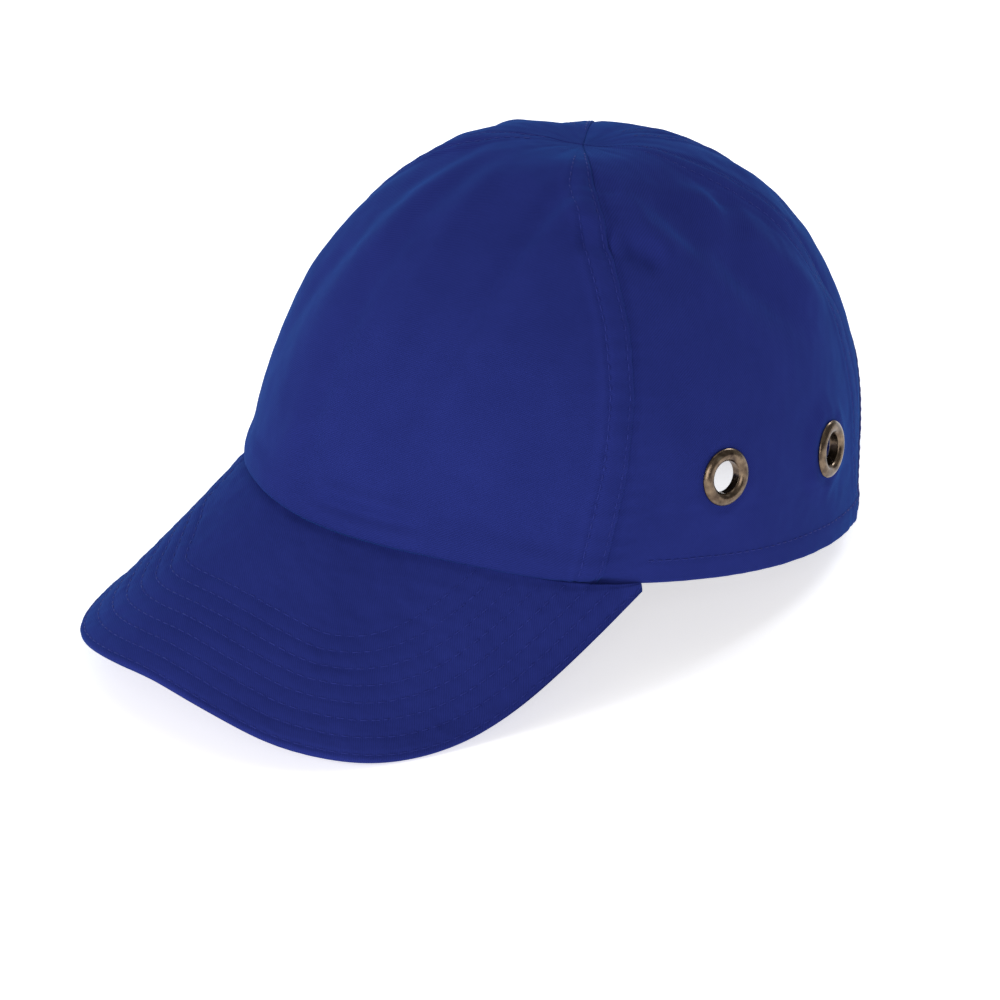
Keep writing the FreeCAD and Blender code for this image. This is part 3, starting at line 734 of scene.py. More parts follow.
g = panel(lambda w: -front_seam(w), front_seam, [0, 9, -0.01, -9], hem=False)
lap_edge(g, front_seam, both=True)
front_o = grid_piece(g, "front_panel_cloth", "front_panel")
for sign, sd in ((1, "left"), (-1, "right")):
    ey_mm = [np.radians(a - front_seam(0.2) + 2.0) * 95.0 for a, _ in EYELETS]
    g = panel(lambda w: front_seam(w) - 2.0, rear_seam, [0, 3, -0.01, -9] + ey_mm, sign)
    sink(g, front_seam)
    lap_edge(g, rear_seam)
    o = grid_piece(g, "side_panel_cloth_" + sd, "side_panel_" + sd)
    for k in ("front", "rear"):
        cut_with(o, round_cutter(world(EYE[k + "_" + sd][0]), nworld(EYE[k + "_" + sd][1]), 5.8))
    g = panel(lambda w: rear_seam(w) - 2.0, back_b, [0, 3, -0.01, -6], sign, mid=180.0)
    sink(g, rear_seam)
    o = grid_piece(g, "back_panel_cloth_" + sd, "back_panel_" + sd)
    cut_with(o, arch_cutter())

# ------------------------------------------------------------------- eyelets
def lathe(profile, segs, c, n, name, mat, uv=None):
    """Turn a closed (radius, height) profile about n through c, with true roundness."""
    prof = np.array(profile, float)
    # smooth the profile with a closed Catmull-Rom curve
    k = len(prof)
    fine = []
    for i in range(k):
        p0, p1, p2, p3 = prof[i - 1], prof[i], prof[(i + 1) % k], prof[(i + 2) % k]
        for t in np.linspace(0, 1, 5)[:-1]:
            fine.append(0.5 * ((2 * p1) + (-p0 + p2) * t + (2 * p0 - 5 * p1 + 4 * p2 - p3) * t * t
                               + (-p0 + 3 * p1 - 3 * p2 + p3) * t ** 3))
    fine = np.array(fine)
    z = n / np.linalg.norm(n)
    x = np.cross([0.0, 0.0, 1.0], z)
    x /= np.linalg.norm(x)
    y = np.cross(z, x)
    th = np.linspace(0, 2 * np.pi, segs, endpoint=False)
    P = (c + fine[None, :, 0, None] * (np.cos(th)[:, None, None] * x + np.sin(th)[:, None, None] * y)
         + fine[None, :, 1, None] * z)
    nu, nv = len(th), len(fine)
    i, j = np.meshgrid(np.arange(nu), np.arange(nv), indexing="ij")
    a = i * nv + j
    b = ((i + 1) % nu) * nv + j
    a2 = i * nv + (j + 1) % nv
    b2 = ((i + 1) % nu) * nv + (j + 1) % nv
    f = np.stack([a, b, b2, a2], -1).reshape(-1, 4)
    return mesh_from(world(P.reshape(-1, 3)), f, None, name)


PT = 1.0
EY_PROF = [(5.1, 0.3), (5.1, -1.0), (5.1, -2.3), (5.5, -2.55), (6.4, -2.5), (7.0, -2.3), (6.9, -2.08), (5.9, -2.0),
           (5.68, -1.6), (5.68, -0.3), (5.9, -0.1), (7.2, -0.15), (8.4, -0.12), (8.95, 0.0), (9.05, 0.28), (8.75, 0.75), (8.15, 1.22),
           (7.45, 1.52), (6.75, 1.58), (6.0, 1.36), (5.45, 0.92), (5.16, 0.5)]
WA_PROF = [(5.75, -1.36), (8.75, -1.36), (8.8, -1.65), (8.6, -2.0), (5.75, -2.0)]
for key, (c, n) in EYE.items():
    me = lathe(EY_PROF[::-1], 64, c, n, "eyelet_ring_" + key, MAT_BRASS)
    o = link(me, "eyelet_ring_" + key, MAT_BRASS, "crown")
    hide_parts("eyelet_" + key)
    me = lathe(WA_PROF[::-1], 48, c, n, "eyelet_washer_" + key, MAT_BRASS)
    o = link(me, "eyelet_washer_" + key, MAT_BRASS, "crown")
    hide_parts("washer_" + key)


# --------------------------------------------------------------------- visor
def visor_mid(s, t):
    ph = s * PHB
    r = plan_r(ph)
    xi, yi = r * np.sin(ph), -r * np.cos(ph)
    psi = s * np.pi / 2
    sp, cp = np.sin(psi), np.maximum(np.cos(psi), 0)
    xo = WF * END_X * np.sign(sp) * np.abs(sp) ** M1
    yf = -AF - VLEN * math.cos(VSLOPE)
    yo = END_Y + (yf - END_Y) * cp ** M2
    t = np.where(t > 0, t * (1 + (0.020 * bump(s + 0.01, 0.12) - 0.050 * bump(s + 0.45, 0.14) - 0.040 * bump(s + 0.62, 0.07) + 0.010 * bump(s - 0.28, 0.09) + 0.042 * bump(s - 0.88, 0.10)) * t), t)
    side = 3.6 * bump(s + 0.56, 0.12) * np.clip(t, 0, 1) ** 2      # this corner is bent in a little
    return xi * (1 - t) + xo * t + side, yi * (1 - t) + yo * t


def visor_at(s, t, d):
    x, y = visor_mid(s, t)
    zx = -(2 * A2 * x / 80.0 ** 2 + 4 * A4 * x ** 3 / 80.0 ** 4)
    zy = math.tan(VSLOPE)
    k = 1 / np.sqrt(zx * zx + zy * zy + 1)
    d = d - 1.5 * bump(np.abs(s) - 0.70, 0.16) * sstep(t, 0.05, 0.6) * (1 - sstep(t, 0.78, 1.0))
    return np.stack([x - zx * k * d, y - zy * k * d, visor_z(x, y) - END_Z + k * d], -1)


S_DENSE = np.linspace(-1, 1, 241)
S_DENSE = np.sin(S_DENSE * np.pi / 2) * 0.45 + S_DENSE * 0.55
# distance of each grid point from the visor's outer edge, measured across it
ST_ROWS = [2.2, 7.6, 13.0, 18.4, 23.8, 29.2, 34.6, 40.0]     # stitch rows, mm in from the edge
T_FINE = np.unique(np.concatenate([np.linspace(-0.035, 0.05, 7), np.linspace(0.05, 0.90, 82), np.linspace(0.90, 1.0, 22)]))
SS, TT = np.meshgrid(S_DENSE, T_FINE, indexing="ij")
MIDP = visor_at(SS, TT, 0 * TT)
seg = np.linalg.norm(np.diff(MIDP, axis=1), axis=-1)
FROM_EDGE = np.concatenate([np.cumsum(seg[:, ::-1], axis=1)[:, ::-1], np.zeros((len(S_DENSE), 1))], axis=1)
edge_pts = MIDP[:, -1]
ALONG = np.concatenate([[0], np.cumsum(np.linalg.norm(np.diff(edge_pts, axis=0), axis=-1))])
# nearest distance to the edge curve, so that rows run parallel to it
_e = edge_pts
DE = np.full(MIDP.shape[:2], 1e9)
for k in range(0, len(_e), 1):
    DE = np.minimum(DE, np.linalg.norm(MIDP - _e[k], axis=-1))
DE = np.minimum(DE, FROM_EDGE)
N_V = Noise(21, 9.0, 30)
N_V2 = Noise(22, 34.0, 20)
N_V3 = Noise(23, 4.2, 40)


def visor_relief(top):
    d = np.zeros_like(DE)
    for k, row in enumerate(ST_ROWS):
        d -= (0.21 if k else 0.30) * bump(DE - row, 0.62)
    # cloth swells between rows
    for a, b in zip(ST_ROWS[:-1], ST_ROWS[1:]):
        d += 0.07 * np.clip(np.sin(np.clip((DE - a) / (b - a), 0, 1) * np.pi), 0, 1)
    d += 0.055 * N_V(MIDP) + 0.16 * N_V2(MIDP) + 0.05 * N_V3(MIDP)
    d += 0.05 * np.sin(ALONG[:, None] * 2 * np.pi / 3.1) * sum(bump(DE - r, 1.0) for r in ST_ROWS)
    return d


HALF = 1.55


def edge_round(de):
    """Half thickness near the rolled edge."""
    x = np.clip(de / 1.7, 0, 1)
    return np.sqrt(np.clip(1 - (1 - x) ** 2, 0, 1))


top_d = HALF * (0.10 + 0.90 * edge_round(DE)) + visor_relief(True) * edge_round(DE)
# the inner edge tucks down into the join
top_d = top_d - 0.35 * (1 - sstep(TT, -0.01, 0.03))
bot_d = -(HALF * (0.10 + 0.90 * edge_round(DE)) + visor_relief(False) * edge_round(DE) * 0.9)
TOP = visor_at(SS, TT, top_d)
BOT = visor_at(SS, TT, bot_d)
MIDL = visor_at(SS, TT, 0.0 * TT + 0.02)
MIDU = visor_at(SS, TT, 0.0 * TT - 0.02)
UVV = np.stack([MIDP[..., 0] + 200, np.hypot(MIDP[..., 1], MIDP[..., 2]) * np.sign(-MIDP[..., 1])], -1)


def visor_piece(name, node, A, Bm, mat, flip):
    me = slab_mesh(A, Bm, UVV, name, flip)
    o = link(me, name, mat, "crown")
    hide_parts(node)
    return o


uv_v = UVV
vis_top = visor_piece("visor_top_cloth", "visor_top_cover", TOP, visor_at(SS, TT, np.minimum(0.85, top_d - 0.25)), MAT_VISOR, False)
vis_bot = visor_piece("visor_under_cloth", "visor_under_cover", visor_at(SS, TT, np.maximum(-0.85, bot_d + 0.25)), BOT, MAT_UNDER, False)

sb, tb = np.meshgrid(S_DENSE[::3] * 0.95, np.linspace(0.015, 0.945, 30), indexing="ij")
me = slab_mesh(visor_at(sb, tb, 0.72 + 0 * tb), visor_at(sb, tb, -0.72 + 0 * tb), np.stack([sb * 100, tb * 80], -1), "visor_board_core", False)
board_o = link(me, "visor_board_core", None, "crown")
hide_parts("visor_board")

# ------------------------------------------------------------------- stitches
def stitches(name, curves, body="crown", mat=None, length=2.3, gap=0.75, radius=0.19):
    """Rows of thread. Each curve is (points, normals) in the wearing frame, mm."""
    V, F = [], []
    ring = 6
    base = 0
    for P, Nn in curves:
        seg = np.linalg.norm(np.diff(P, axis=0), axis=1)
        L = np.concatenate([[0], np.cumsum(seg)])
        tot = L[-1]
        n = int(tot / (length + gap))
        if n < 1:
            continue
        step = tot / n
        for i in range(n):
            a = i * step + gap / 2
            ts = a + (step - gap) * np.array([0.0, 0.08, 0.25, 0.5, 0.75, 0.92, 1.0])
            hs = np.array([-0.34, -0.10, 0.02, 0.05, 0.02, -0.10, -0.34])
            rs = np.array([0.55, 0.9, 1.0, 1.0, 1.0, 0.9, 0.55]) * radius
            c = np.stack([np.interp(ts, L, P[:, k]) for k in range(3)], -1)
            nn = np.stack([np.interp(ts, L, Nn[:, k]) for k in range(3)], -1)
            nn /= np.linalg.norm(nn, axis=1, keepdims=True)
            c = c + nn * (hs * 1.0)[:, None]
            tg = np.gradient(c, axis=0)
            tg /= np.linalg.norm(tg, axis=1, keepdims=True)
            bn = np.cross(tg, nn)
            bn /= np.linalg.norm(bn, axis=1, keepdims=True)
            up = np.cross(bn, tg)
            th = np.linspace(0, 2 * np.pi, ring, endpoint=False)
            pts = c[:, None, :] + rs[:, None, None] * (np.cos(th)[None, :, None] * bn[:, None, :]
                                                     + np.sin(th)[None, :, None] * up[:, None, :])
            V.append(pts.reshape(-1, 3))
            m = len(ts)
            ii, jj = np.meshgrid(np.arange(m - 1), np.arange(ring), indexing="ij")
            q = np.stack([ii * ring + jj, ii * ring + (jj + 1) % ring, (ii + 1) * ring + (jj + 1) % ring,
                          (ii + 1) * ring + jj], -1).reshape(-1, 4) + base
            F += q.tolist()
            F.append([base + k for k in range(ring)][::-1])
            F.append([base + (m - 1) * ring + k for k in range(ring)])
            base += m * ring
    me = mesh_from(world(np.concatenate(V)), F, None, name)
    return link(me, name, mat or MAT_THREAD, body)


def crown_row(fn, w0, w1, n=160):
    """A stitch row up the crown; fn(w) gives degrees (signed)."""
    w = np.linspace(w0, w1, n)
    a = fn(w)
    ph = np.radians(a)
    return off(ph, w, relief(a, w) + 0.05), crown_n(ph, w)


def seam_off(seam_fn, dist, sign):
    """degrees of a line dist mm (towards the front) from a seam"""
    def f(w):
        a = seam_fn(w)
        r = radius_at(np.radians(a), w)
        k = np.clip(r / 34.0, 0.12, 1.0)
        return (a - np.degrees(dist * k / r)) * sign
    return f


rows = []
for sg in (1, -1):
    rows.append(crown_row(seam_off(front_seam, 1.9, sg), 0.012, 0.93))
    rows.append(crown_row(seam_off(front_seam, 8.2, sg), 0.02, 0.90))
stitches("stitching_side_seams", rows)
rows = []
for sg in (1, -1):
    rows.append(crown_row(seam_off(rear_seam, 1.9, sg), 0.012, 0.93))
    rows.append(crown_row(seam_off(rear_seam, 8.2, sg), 0.012, 0.90))
    rows.append(crown_row(seam_off(back_b, 4.6, sg), 0.42, 0.93))
stitches("stitching_rear_seams", [(p - nn * 0.10, nn) for p, nn in rows])


def hem_row(z, a0, a1, n=400):
    a = np.linspace(a0, a1, n)
    ph = np.radians(a)
    w = w_of(ph, hem_z(ph) + z)
    return off(ph, w, relief(a, w) + 0.05), crown_n(ph, w)


stitches("stitching_hem", [hem_row(7.4, 66.5, 153.0), hem_row(7.4, -153.0, -66.5)])

rows = []
for row in ST_ROWS:
    pts, nrm = [], []
    for i in range(len(S_DENSE)):
        de = DE[i]
        j = np.where((de[:-1] >= row) & (de[1:] < row))[0]
        if len(j) == 0:
            continue
        j = j[-1]
        f = (de[j] - row) / (de[j] - de[j + 1])
        pts.append(TOP[i, j] * (1 - f) + TOP[i, j + 1] * f)
        nrm.append((visor_at(SS[i, j], TT[i, j], 1.0) - visor_at(SS[i, j], TT[i, j], 0.0)))
    rows.append((np.array(pts), np.array(nrm)))
stitches("stitching_visor_top", rows, length=2.9)
rows_b = []
for row in ST_ROWS:
    pts, nrm = [], []
    for i in range(len(S_DENSE)):
        de = DE[i]
        j = np.where((de[:-1] >= row) & (de[1:] < row))[0]
        if len(j) == 0:
            continue
        j = j[-1]
        f = (de[j] - row) / (de[j] - de[j + 1])
        pts.append(BOT[i, j] * (1 - f) + BOT[i, j + 1] * f)
        nrm.append(-(visor_at(SS[i, j], TT[i, j], 1.0) - visor_at(SS[i, j], TT[i, j], 0.0)))
    rows_b.append((np.array(pts), np.array(nrm)))
stitches("stitching_visor_under", rows_b, length=2.9)

# ------------------------------------------------------------ inside pieces
def arc_of(P, axis):
    seg = np.linalg.norm(np.diff(P, axis=axis), axis=-1)
    z = np.zeros_like(seg[:1] if axis == 0 else seg[:, :1])
    return np.cumsum(np.concatenate([z, seg], axis=axis), axis=axis)


def ends_dense(length, step, edge):
    """0..1, with extra stations near both ends for a rounded edge."""
    e = np.array([0, 0.06, 0.2, 0.45, 0.75, 1.0]) * edge / length
    n = max(int(length / step), 3)
    mid = np.linspace(e[-1], 1 - e[-1], n + 1)
    return np.concatenate([e[:-1], mid, (1 - e[:-1])[::-1]])


def soft_strip(name, P, N, thick, mat, body="crown", edge=0.8, out_d=0.0, in_d=0.0, flip=False,
               node=None, quick_area=None):
    """A flat woven strip with rounded edges, from a grid of middle points and normals."""
    du, dv = arc_of(P, 0), arc_of(P, 1)
    eu = np.minimum(du, du[-1:] - du)
    ev = np.minimum(dv, dv[:, -1:] - dv)
    prof = np.sqrt(np.clip(1 - (1 - np.clip(np.minimum(eu, ev) / edge, 0, 1)) ** 2, 0, 1))
    half = thick / 2 * (0.05 + 0.95 * prof)
    out = P + N * (half + out_d * prof)[..., None]
    inn = P - N * (half + in_d * prof)[..., None]
    me = slab_mesh(out, inn, np.stack([du, dv], -1), name, flip)
    o = link(me, name, mat, body)
    if node:
        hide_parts(*([node] if isinstance(node, str) else node))
    return o, du, dv


def webbing(name, col, pitch=1.1, rough=0.75, depth=0.22, sheen=0.12):
    """Herringbone tape: UVs in millimetres."""
    m, nt, b = new_mat(name)
    uvn = nt.nodes.new("ShaderNodeUVMap")
    uvn.uv_map = "UVMap"
    sep = nt.nodes.new("ShaderNodeSeparateXYZ")
    nt.links.new(uvn.outputs[0], sep.inputs[0])
    zig = math_node(nt, "PINGPONG", sep.outputs[1], 2.2)
    d1 = math_node(nt, "ADD", sep.outputs[0], zig)
    rib = math_node(nt, "SINE", math_node(nt, "MULTIPLY", d1, 2 * math.pi / pitch))
    yarn = math_node(nt, "SINE", math_node(nt, "MULTIPLY", sep.outputs[1], 2 * math.pi / 0.55))
    no = nt.nodes.new("ShaderNodeTexNoise")
    no.inputs["Scale"].default_value = 0.8
    no.inputs["Detail"].default_value = 3.0
    nt.links.new(uvn.outputs[0], no.inputs["Vector"])
    h = math_node(nt, "ADD", math_node(nt, "MULTIPLY", rib, 0.35), math_node(nt, "MULTIPLY", yarn, 0.15))
    h = math_node(nt, "ADD", h, no.outputs["Fac"])
    bp = nt.nodes.new("ShaderNodeBump")
    bp.inputs["Strength"].default_value = 0.7
    bp.inputs["Distance"].default_value = depth / 1000
    nt.links.new(h, bp.inputs["Height"])
    nt.links.new(bp.outputs[0], b.inputs["Normal"])
    f = math_node(nt, "MULTIPLY_ADD", h, 0.4)
    nt.nodes[-1].inputs[2].default_value = 0.1
    c = mix_col(nt, f, tuple(x * 0.7 for x in col), tuple(x * 1.35 for x in col))
    nt.links.new(c, b.inputs["Base Color"])
    b.inputs["Roughness"].default_value = rough
    b.inputs["Specular IOR Level"].default_value = 0.2
    b.inputs["Sheen Weight"].default_value = sheen
    b.inputs["Sheen Roughness"].default_value = 0.5
    b.inputs["Sheen Tint"].default_value = (0.5, 0.6, 1.0, 1.0)
    return m


def plain_cloth(name, col, scale=900.0, depth=0.25, rough=0.9, sheen=0.2, contrast=0.5, spec=0.2):
    """Foam cover, towelling and pile: no UVs needed."""
    m, nt, b = new_mat(name)
    tc = nt.nodes.new("ShaderNodeTexCoord")
    vo = nt.nodes.new("ShaderNodeTexVoronoi")
    vo.inputs["Scale"].default_value = scale
    nt.links.new(tc.outputs["Object"], vo.inputs["Vector"])
    no = nt.nodes.new("ShaderNodeTexNoise")
    no.inputs["Scale"].default_value = scale * 0.12
    no.inputs["Detail"].default_value = 4.0
    nt.links.new(tc.outputs["Object"], no.inputs["Vector"])
    h = math_node(nt, "ADD", math_node(nt, "MULTIPLY", vo.outputs["Distance"], -0.8), math_node(nt, "MULTIPLY", no.outputs["Fac"], 0.8))
    bp = nt.nodes.new("ShaderNodeBump")
    bp.inputs["Strength"].default_value = 0.8
    bp.inputs["Distance"].default_value = depth / 1000
    nt.links.new(h, bp.inputs["Height"])
    nt.links.new(bp.outputs[0], b.inputs["Normal"])
    f = math_node(nt, "MULTIPLY", vo.outputs["Distance"], contrast * 1.6)
    c = mix_col(nt, f, tuple(min(x * 1.3, 1) for x in col), tuple(x * 0.55 for x in col))
    c = mix_col(nt, math_node(nt, "MULTIPLY", no.outputs["Fac"], 0.35), c, tuple(min(x * 1.5, 1) for x in col))
    nt.links.new(c, b.inputs["Base Color"])
    b.inputs["Roughness"].default_value = rough
    b.inputs["Specular IOR Level"].default_value = spec
    b.inputs["Sheen Weight"].default_value = sheen
    b.inputs["Sheen Roughness"].default_value = 0.5
    return m


def moulded(name, col, rough=0.42, grain=1500.0, depth=0.03, spec=0.5):
    m, nt, b = new_mat(name)
    tc = nt.nodes.new("ShaderNodeTexCoord")
    no = nt.nodes.new("ShaderNodeTexNoise")
    no.inputs["Scale"].default_value = grain
    no.inputs["Detail"].default_value = 3.0
    nt.links.new(tc.outputs["Object"], no.inputs["Vector"])
    n2 = nt.nodes.new("ShaderNodeTexNoise")
    n2.inputs["Scale"].default_value = 22.0
    n2.inputs["Detail"].default_value = 3.0
    nt.links.new(tc.outputs["Object"], n2.inputs["Vector"])
    bp = nt.nodes.new("ShaderNodeBump")
    bp.inputs["Strength"].default_value = 0.6
    bp.inputs["Distance"].default_value = depth / 1000
    nt.links.new(no.outputs["Fac"], bp.inputs["Height"])
    nt.links.new(bp.outputs[0], b.inputs["Normal"])
    c = mix_col(nt, n2.outputs["Fac"], tuple(x * 0.8 for x in col), tuple(min(x * 1.25, 1) for x in col))
    nt.links.new(c, b.inputs["Base Color"])
    ro = nt.nodes.new("ShaderNodeMapRange")
    ro.inputs["To Min"].default_value = rough - 0.08
    ro.inputs["To Max"].default_value = rough + 0.1
    nt.links.new(n2.outputs["Fac"], ro.inputs["Value"])
    nt.links.new(ro.outputs[0], b.inputs["Roughness"])
    b.inputs["Specular IOR Level"].default_value = spec
    return m


MAT_TAPE = webbing("tape_herringbone", tuple(c * 0.9 for c in NAVY))
MAT_TOWEL = plain_cloth("towelling", tuple(c * 0.95 for c in NAVY), 1100.0, 0.5, 0.95, 0.3)
MAT_PAD = plain_cloth("pad_cover_knit", (0.026, 0.026, 0.030), 1300.0, 0.25, 0.9, 0.25)
MAT_FOAM = plain_cloth("open_foam", (0.05, 0.05, 0.056), 700.0, 0.4, 0.95, 0.1)
MAT_BUCK = webbing("buckram_weave", (0.62, 0.60, 0.54), 1.6, 0.9, 0.3, 0.0)
MAT_HOOK = moulded("hook_nylon", tuple(c * 0.6 for c in NAVY), 0.4, 2500.0, 0.05)
MAT_LOOP = plain_cloth("loop_pile", tuple(c * 0.8 for c in NAVY), 2200.0, 0.5, 0.95, 0.4)
MAT_SHELL = moulded("shell_abs", (0.022, 0.022, 0.024), 0.40, 1600.0, 0.035)
MAT_BOARD = moulded("board_pe", (0.62, 0.62, 0.60), 0.5, 600.0, 0.03)
board_o.data.materials.append(MAT_BOARD)
for nm, mt in (("bump_shell", MAT_SHELL), ("visor_board", MAT_BOARD)):
    me = frame["nodes"][nm].data
    me.materials.clear()
    me.materials.append(mt)
    me.polygons.foreach_set("material_index", np.zeros(len(me.polygons), np.int32))

# tapes over the seams
def seam_tape(name, node, seam_fn, gap_deg, z0, lane, sign):
    s0 = float(seam_fn(0.2))
    w0 = float(w_of(np.array(math.radians(s0)), np.array(z0)))
    tt = ends_dense(120.0, 2.4, 0.7)
    w = w0 + (0.945 - w0) * tt
    j = ends_dense(12.0, 1.5, 0.7) * 2 - 1
    seam = np.radians(seam_fn(w))
    z = hem_z(seam) + (H - hem_z(seam)) * np.sin(w * np.pi / 2)
    r = radius_at(seam, w)
    hw = np.minimum(6.0, r * math.tan(math.radians(gap_deg) / 2) * 0.9)
    ph = seam[:, None] + j[None, :] * (hw / r)[:, None]
    wj = w_of(ph, z[:, None] + 0 * ph)
    n = crown_n(ph * sign, wj)
    fol = 0.30 * np.clip(relief(np.degrees(ph) * sign, wj), -1.0, 0.4) - 2.9 * bump(r, 13.5)[:, None]
    P = crown(ph * sign, wj) + n * (-1.80 - lane + fol)[..., None]
    return soft_strip(name, P, n, 0.42, MAT_TAPE, node=node, edge=0.35, flip=sign > 0)


for sign, sd in ((1, "left"), (-1, "right")):
    seam_tape("seam_tape_cloth_front_" + sd, "seam_tape_front_" + sd, front_seam, 80.0, 17.0, 0.0, sign)
    seam_tape("seam_tape_cloth_rear_" + sd, "seam_tape_rear_" + sd, rear_seam, 30.0, 26.6, 0.6, sign)
seam_tape("seam_tape_cloth_centre_back", "seam_tape_centre_back", back_b, 30.0, 74.5, 0.0, 1)

# stiffener behind the front panel
pa = np.radians(np.linspace(-52, 52, 81))
pz = ends_dense(90.0, 2.5, 0.5)
PH, TZ = np.meshgrid(pa, pz, indexing="ij")
Z0 = hem_z(PH) + 5.0
WB = w_of(PH, Z0 + (91.0 - Z0) * TZ)
n = crown_n(PH, WB)
fol = 0.30 * np.clip(relief(np.degrees(PH), WB), -1.0, 0.4)
soft_strip("front_buckram_cloth", crown(PH, WB) + n * (-2.28 + fol)[..., None], n, 0.5, MAT_BUCK, edge=0.4,
           node="front_buckram", flip=True)

# folded facing round the rear opening
tA = np.linspace(0.0, np.pi, 181)
tA = tA + 0.0 * tA
prof = [(7.6, 0.02, 1), (7.45, 0.26, 1), (7.1, 0.40, 1), (5.5, 0.42, 1), (4.0, 0.40, 1), (2.3, 0.46, 1), (0.9, 0.44, 1),
        (0.1, 0.22, 1), (-0.45, -0.15, 1), (-0.72, -0.60, .7), (-0.62, -1.1, .4), (-0.2, -1.55, .3), (0.6, -1.82, .3),
        (2.5, -1.90, .3), (5.5, -1.88, .3), (8.4, -1.88, .3), (9.0, -1.78, .3), (9.2, -1.58, .3)]
prof_in = [(7.5, -0.10, 1), (7.3, -0.08, 1), (7.0, 0.02, 1), (5.5, 0.06, 1), (4.0, 0.06, 1), (2.3, 0.10, 1), (0.9, 0.08, 1),
           (0.35, -0.10, 1), (0.0, -0.35, 1), (-0.15, -0.65, .7), (-0.05, -0.95, .4), (0.2, -1.2, .3), (0.8, -1.42, .3),
           (2.5, -1.50, .3), (5.5, -1.50, .3), (8.4, -1.50, .3), (8.8, -1.48, .3), (9.0, -1.46, .3)]


def arch_grid(pr):
    G = []
    for gq, dq, fol in pr:
        x, z = arch_xz(tA, gq)
        z = np.maximum(z, 0.35)
        ph = back_ph(x, z)
        sx = np.where(x >= 0, 1.0, -1.0)
        w = w_of(ph, z)
        d = relief(np.degrees(ph) * sx, w)
        n = crown_n(ph, w)
        p = crown(ph, w) + n * (dq + fol * d)[..., None]
        p[..., 0] *= sx
        G.append(p)
    return np.stack(G, 1)


GO, GI = arch_grid(prof), arch_grid(prof_in)
uvA = np.stack([arc_of(GO, 0), arc_of(GO, 1)], -1)
me = slab_mesh(GO, GI, uvA, "arch_facing_cloth", False)
o = link(me, "arch_facing_cloth", MAT_TAPE, "crown")
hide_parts("arch_binding")
rows = []
for gq in (2.0, 6.2):
    x, z = arch_xz(tA, gq)
    z = np.maximum(z, 0.35)
    ph = back_ph(x, z)
    sx = np.where(x >= 0, 1.0, -1.0)
    w = w_of(ph, z)
    n = crown_n(ph, w)
    p = crown(ph, w) + n * (0.33 + relief(np.degrees(ph) * sx, w))[..., None]
    p[..., 0] *= sx
    n = n * np.stack([sx, 1 + 0 * sx, 1 + 0 * sx], -1)
    rows.append((p, n))
stitches("stitching_rear_opening", rows)

# sweatband
BEND = 153.4


def band_gap(ph):
    a = np.abs(np.degrees(wrap(ph)))
    return 2.2 + 5.6 * sstep(a, 106.0, 125.0)


ba = np.radians(BEND) * (ends_dense(520.0, 2.2, 0.9) * 2 - 1)
bz = ends_dense(22.0, 1.1, 1.0)
PH, TZ = np.meshgrid(ba, bz, indexing="ij")
ZB = hem_z(PH) + 0.7 + 21.8 * TZ
WB = w_of(PH, ZB)
n = crown_n(PH, WB)
P = crown(PH, WB) - n * (band_gap(PH) + 0.65)[..., None]
NT = Noise(31, 2.6, 30)
NT2 = Noise(32, 24.0, 20)
vz = 22.0 * TZ
puff = 0.16 * NT(P) + 0.12 * NT2(P)
ridge = 0.35 * np.sqrt(np.clip(1 - ((vz - 20.2) / 1.9) ** 2, 0, 1)) - 0.45 * bump(vz - 17.6, 0.5) - 0.3 * bump(vz - 3.2, 0.5)
soft_strip("sweatband_towelling", P, n, 1.25, MAT_TOWEL, edge=0.9, node="sweatband",
           in_d=0.12 + puff + ridge, out_d=0.05, flip=True)
inner_face = P - n * (0.62 + 0.12 + puff + ridge)[..., None]
jj = int(np.argmin(np.abs(vz[10] - 17.6)))
j2 = int(np.argmin(np.abs(vz[10] - 3.2)))
stitches("stitching_sweatband", [(inner_face[6:-6, jj] - n[6:-6, jj] * 0.05, -n[6:-6, jj]), (inner_face[6:-6, j2] - n[6:-6, j2] * 0.05, -n[6:-6, j2])])

# foam strip at the forehead
fa = np.radians(45.5) * (ends_dense(150.0, 1.8, 2.0) * 2 - 1)
fz = ends_dense(18.0, 0.9, 2.0)
PH, TZ = np.meshgrid(fa, fz, indexing="ij")
ZB = hem_z(PH) + 2.7 + 17.8 * TZ
WB = w_of(PH, ZB)
n = crown_n(PH, WB)
P = crown(PH, WB) - n * 4.75
arc = arc_of(P, 0)
quilt = -0.5 * (bump(np.mod(arc + 4, 16.0) - 8.0, 0.8)) * sstep(18 * TZ, 1.5, 3) * (1 - sstep(18 * TZ, 15, 16.5))
o, _, _ = soft_strip("brow_foam_pad", P, n, 1.9, MAT_FOAM, edge=1.9, in_d=0.25 + quilt + 0.1 * NT2(P),
                     node="brow_foam", flip=True)

# ------------------------------------------------------------- foam pads
def shell_gap(ph):
    a = np.abs(np.degrees(wrap(ph)))
    return 3.4 + 1.8 * sstep(a, 95.0, 125.0)


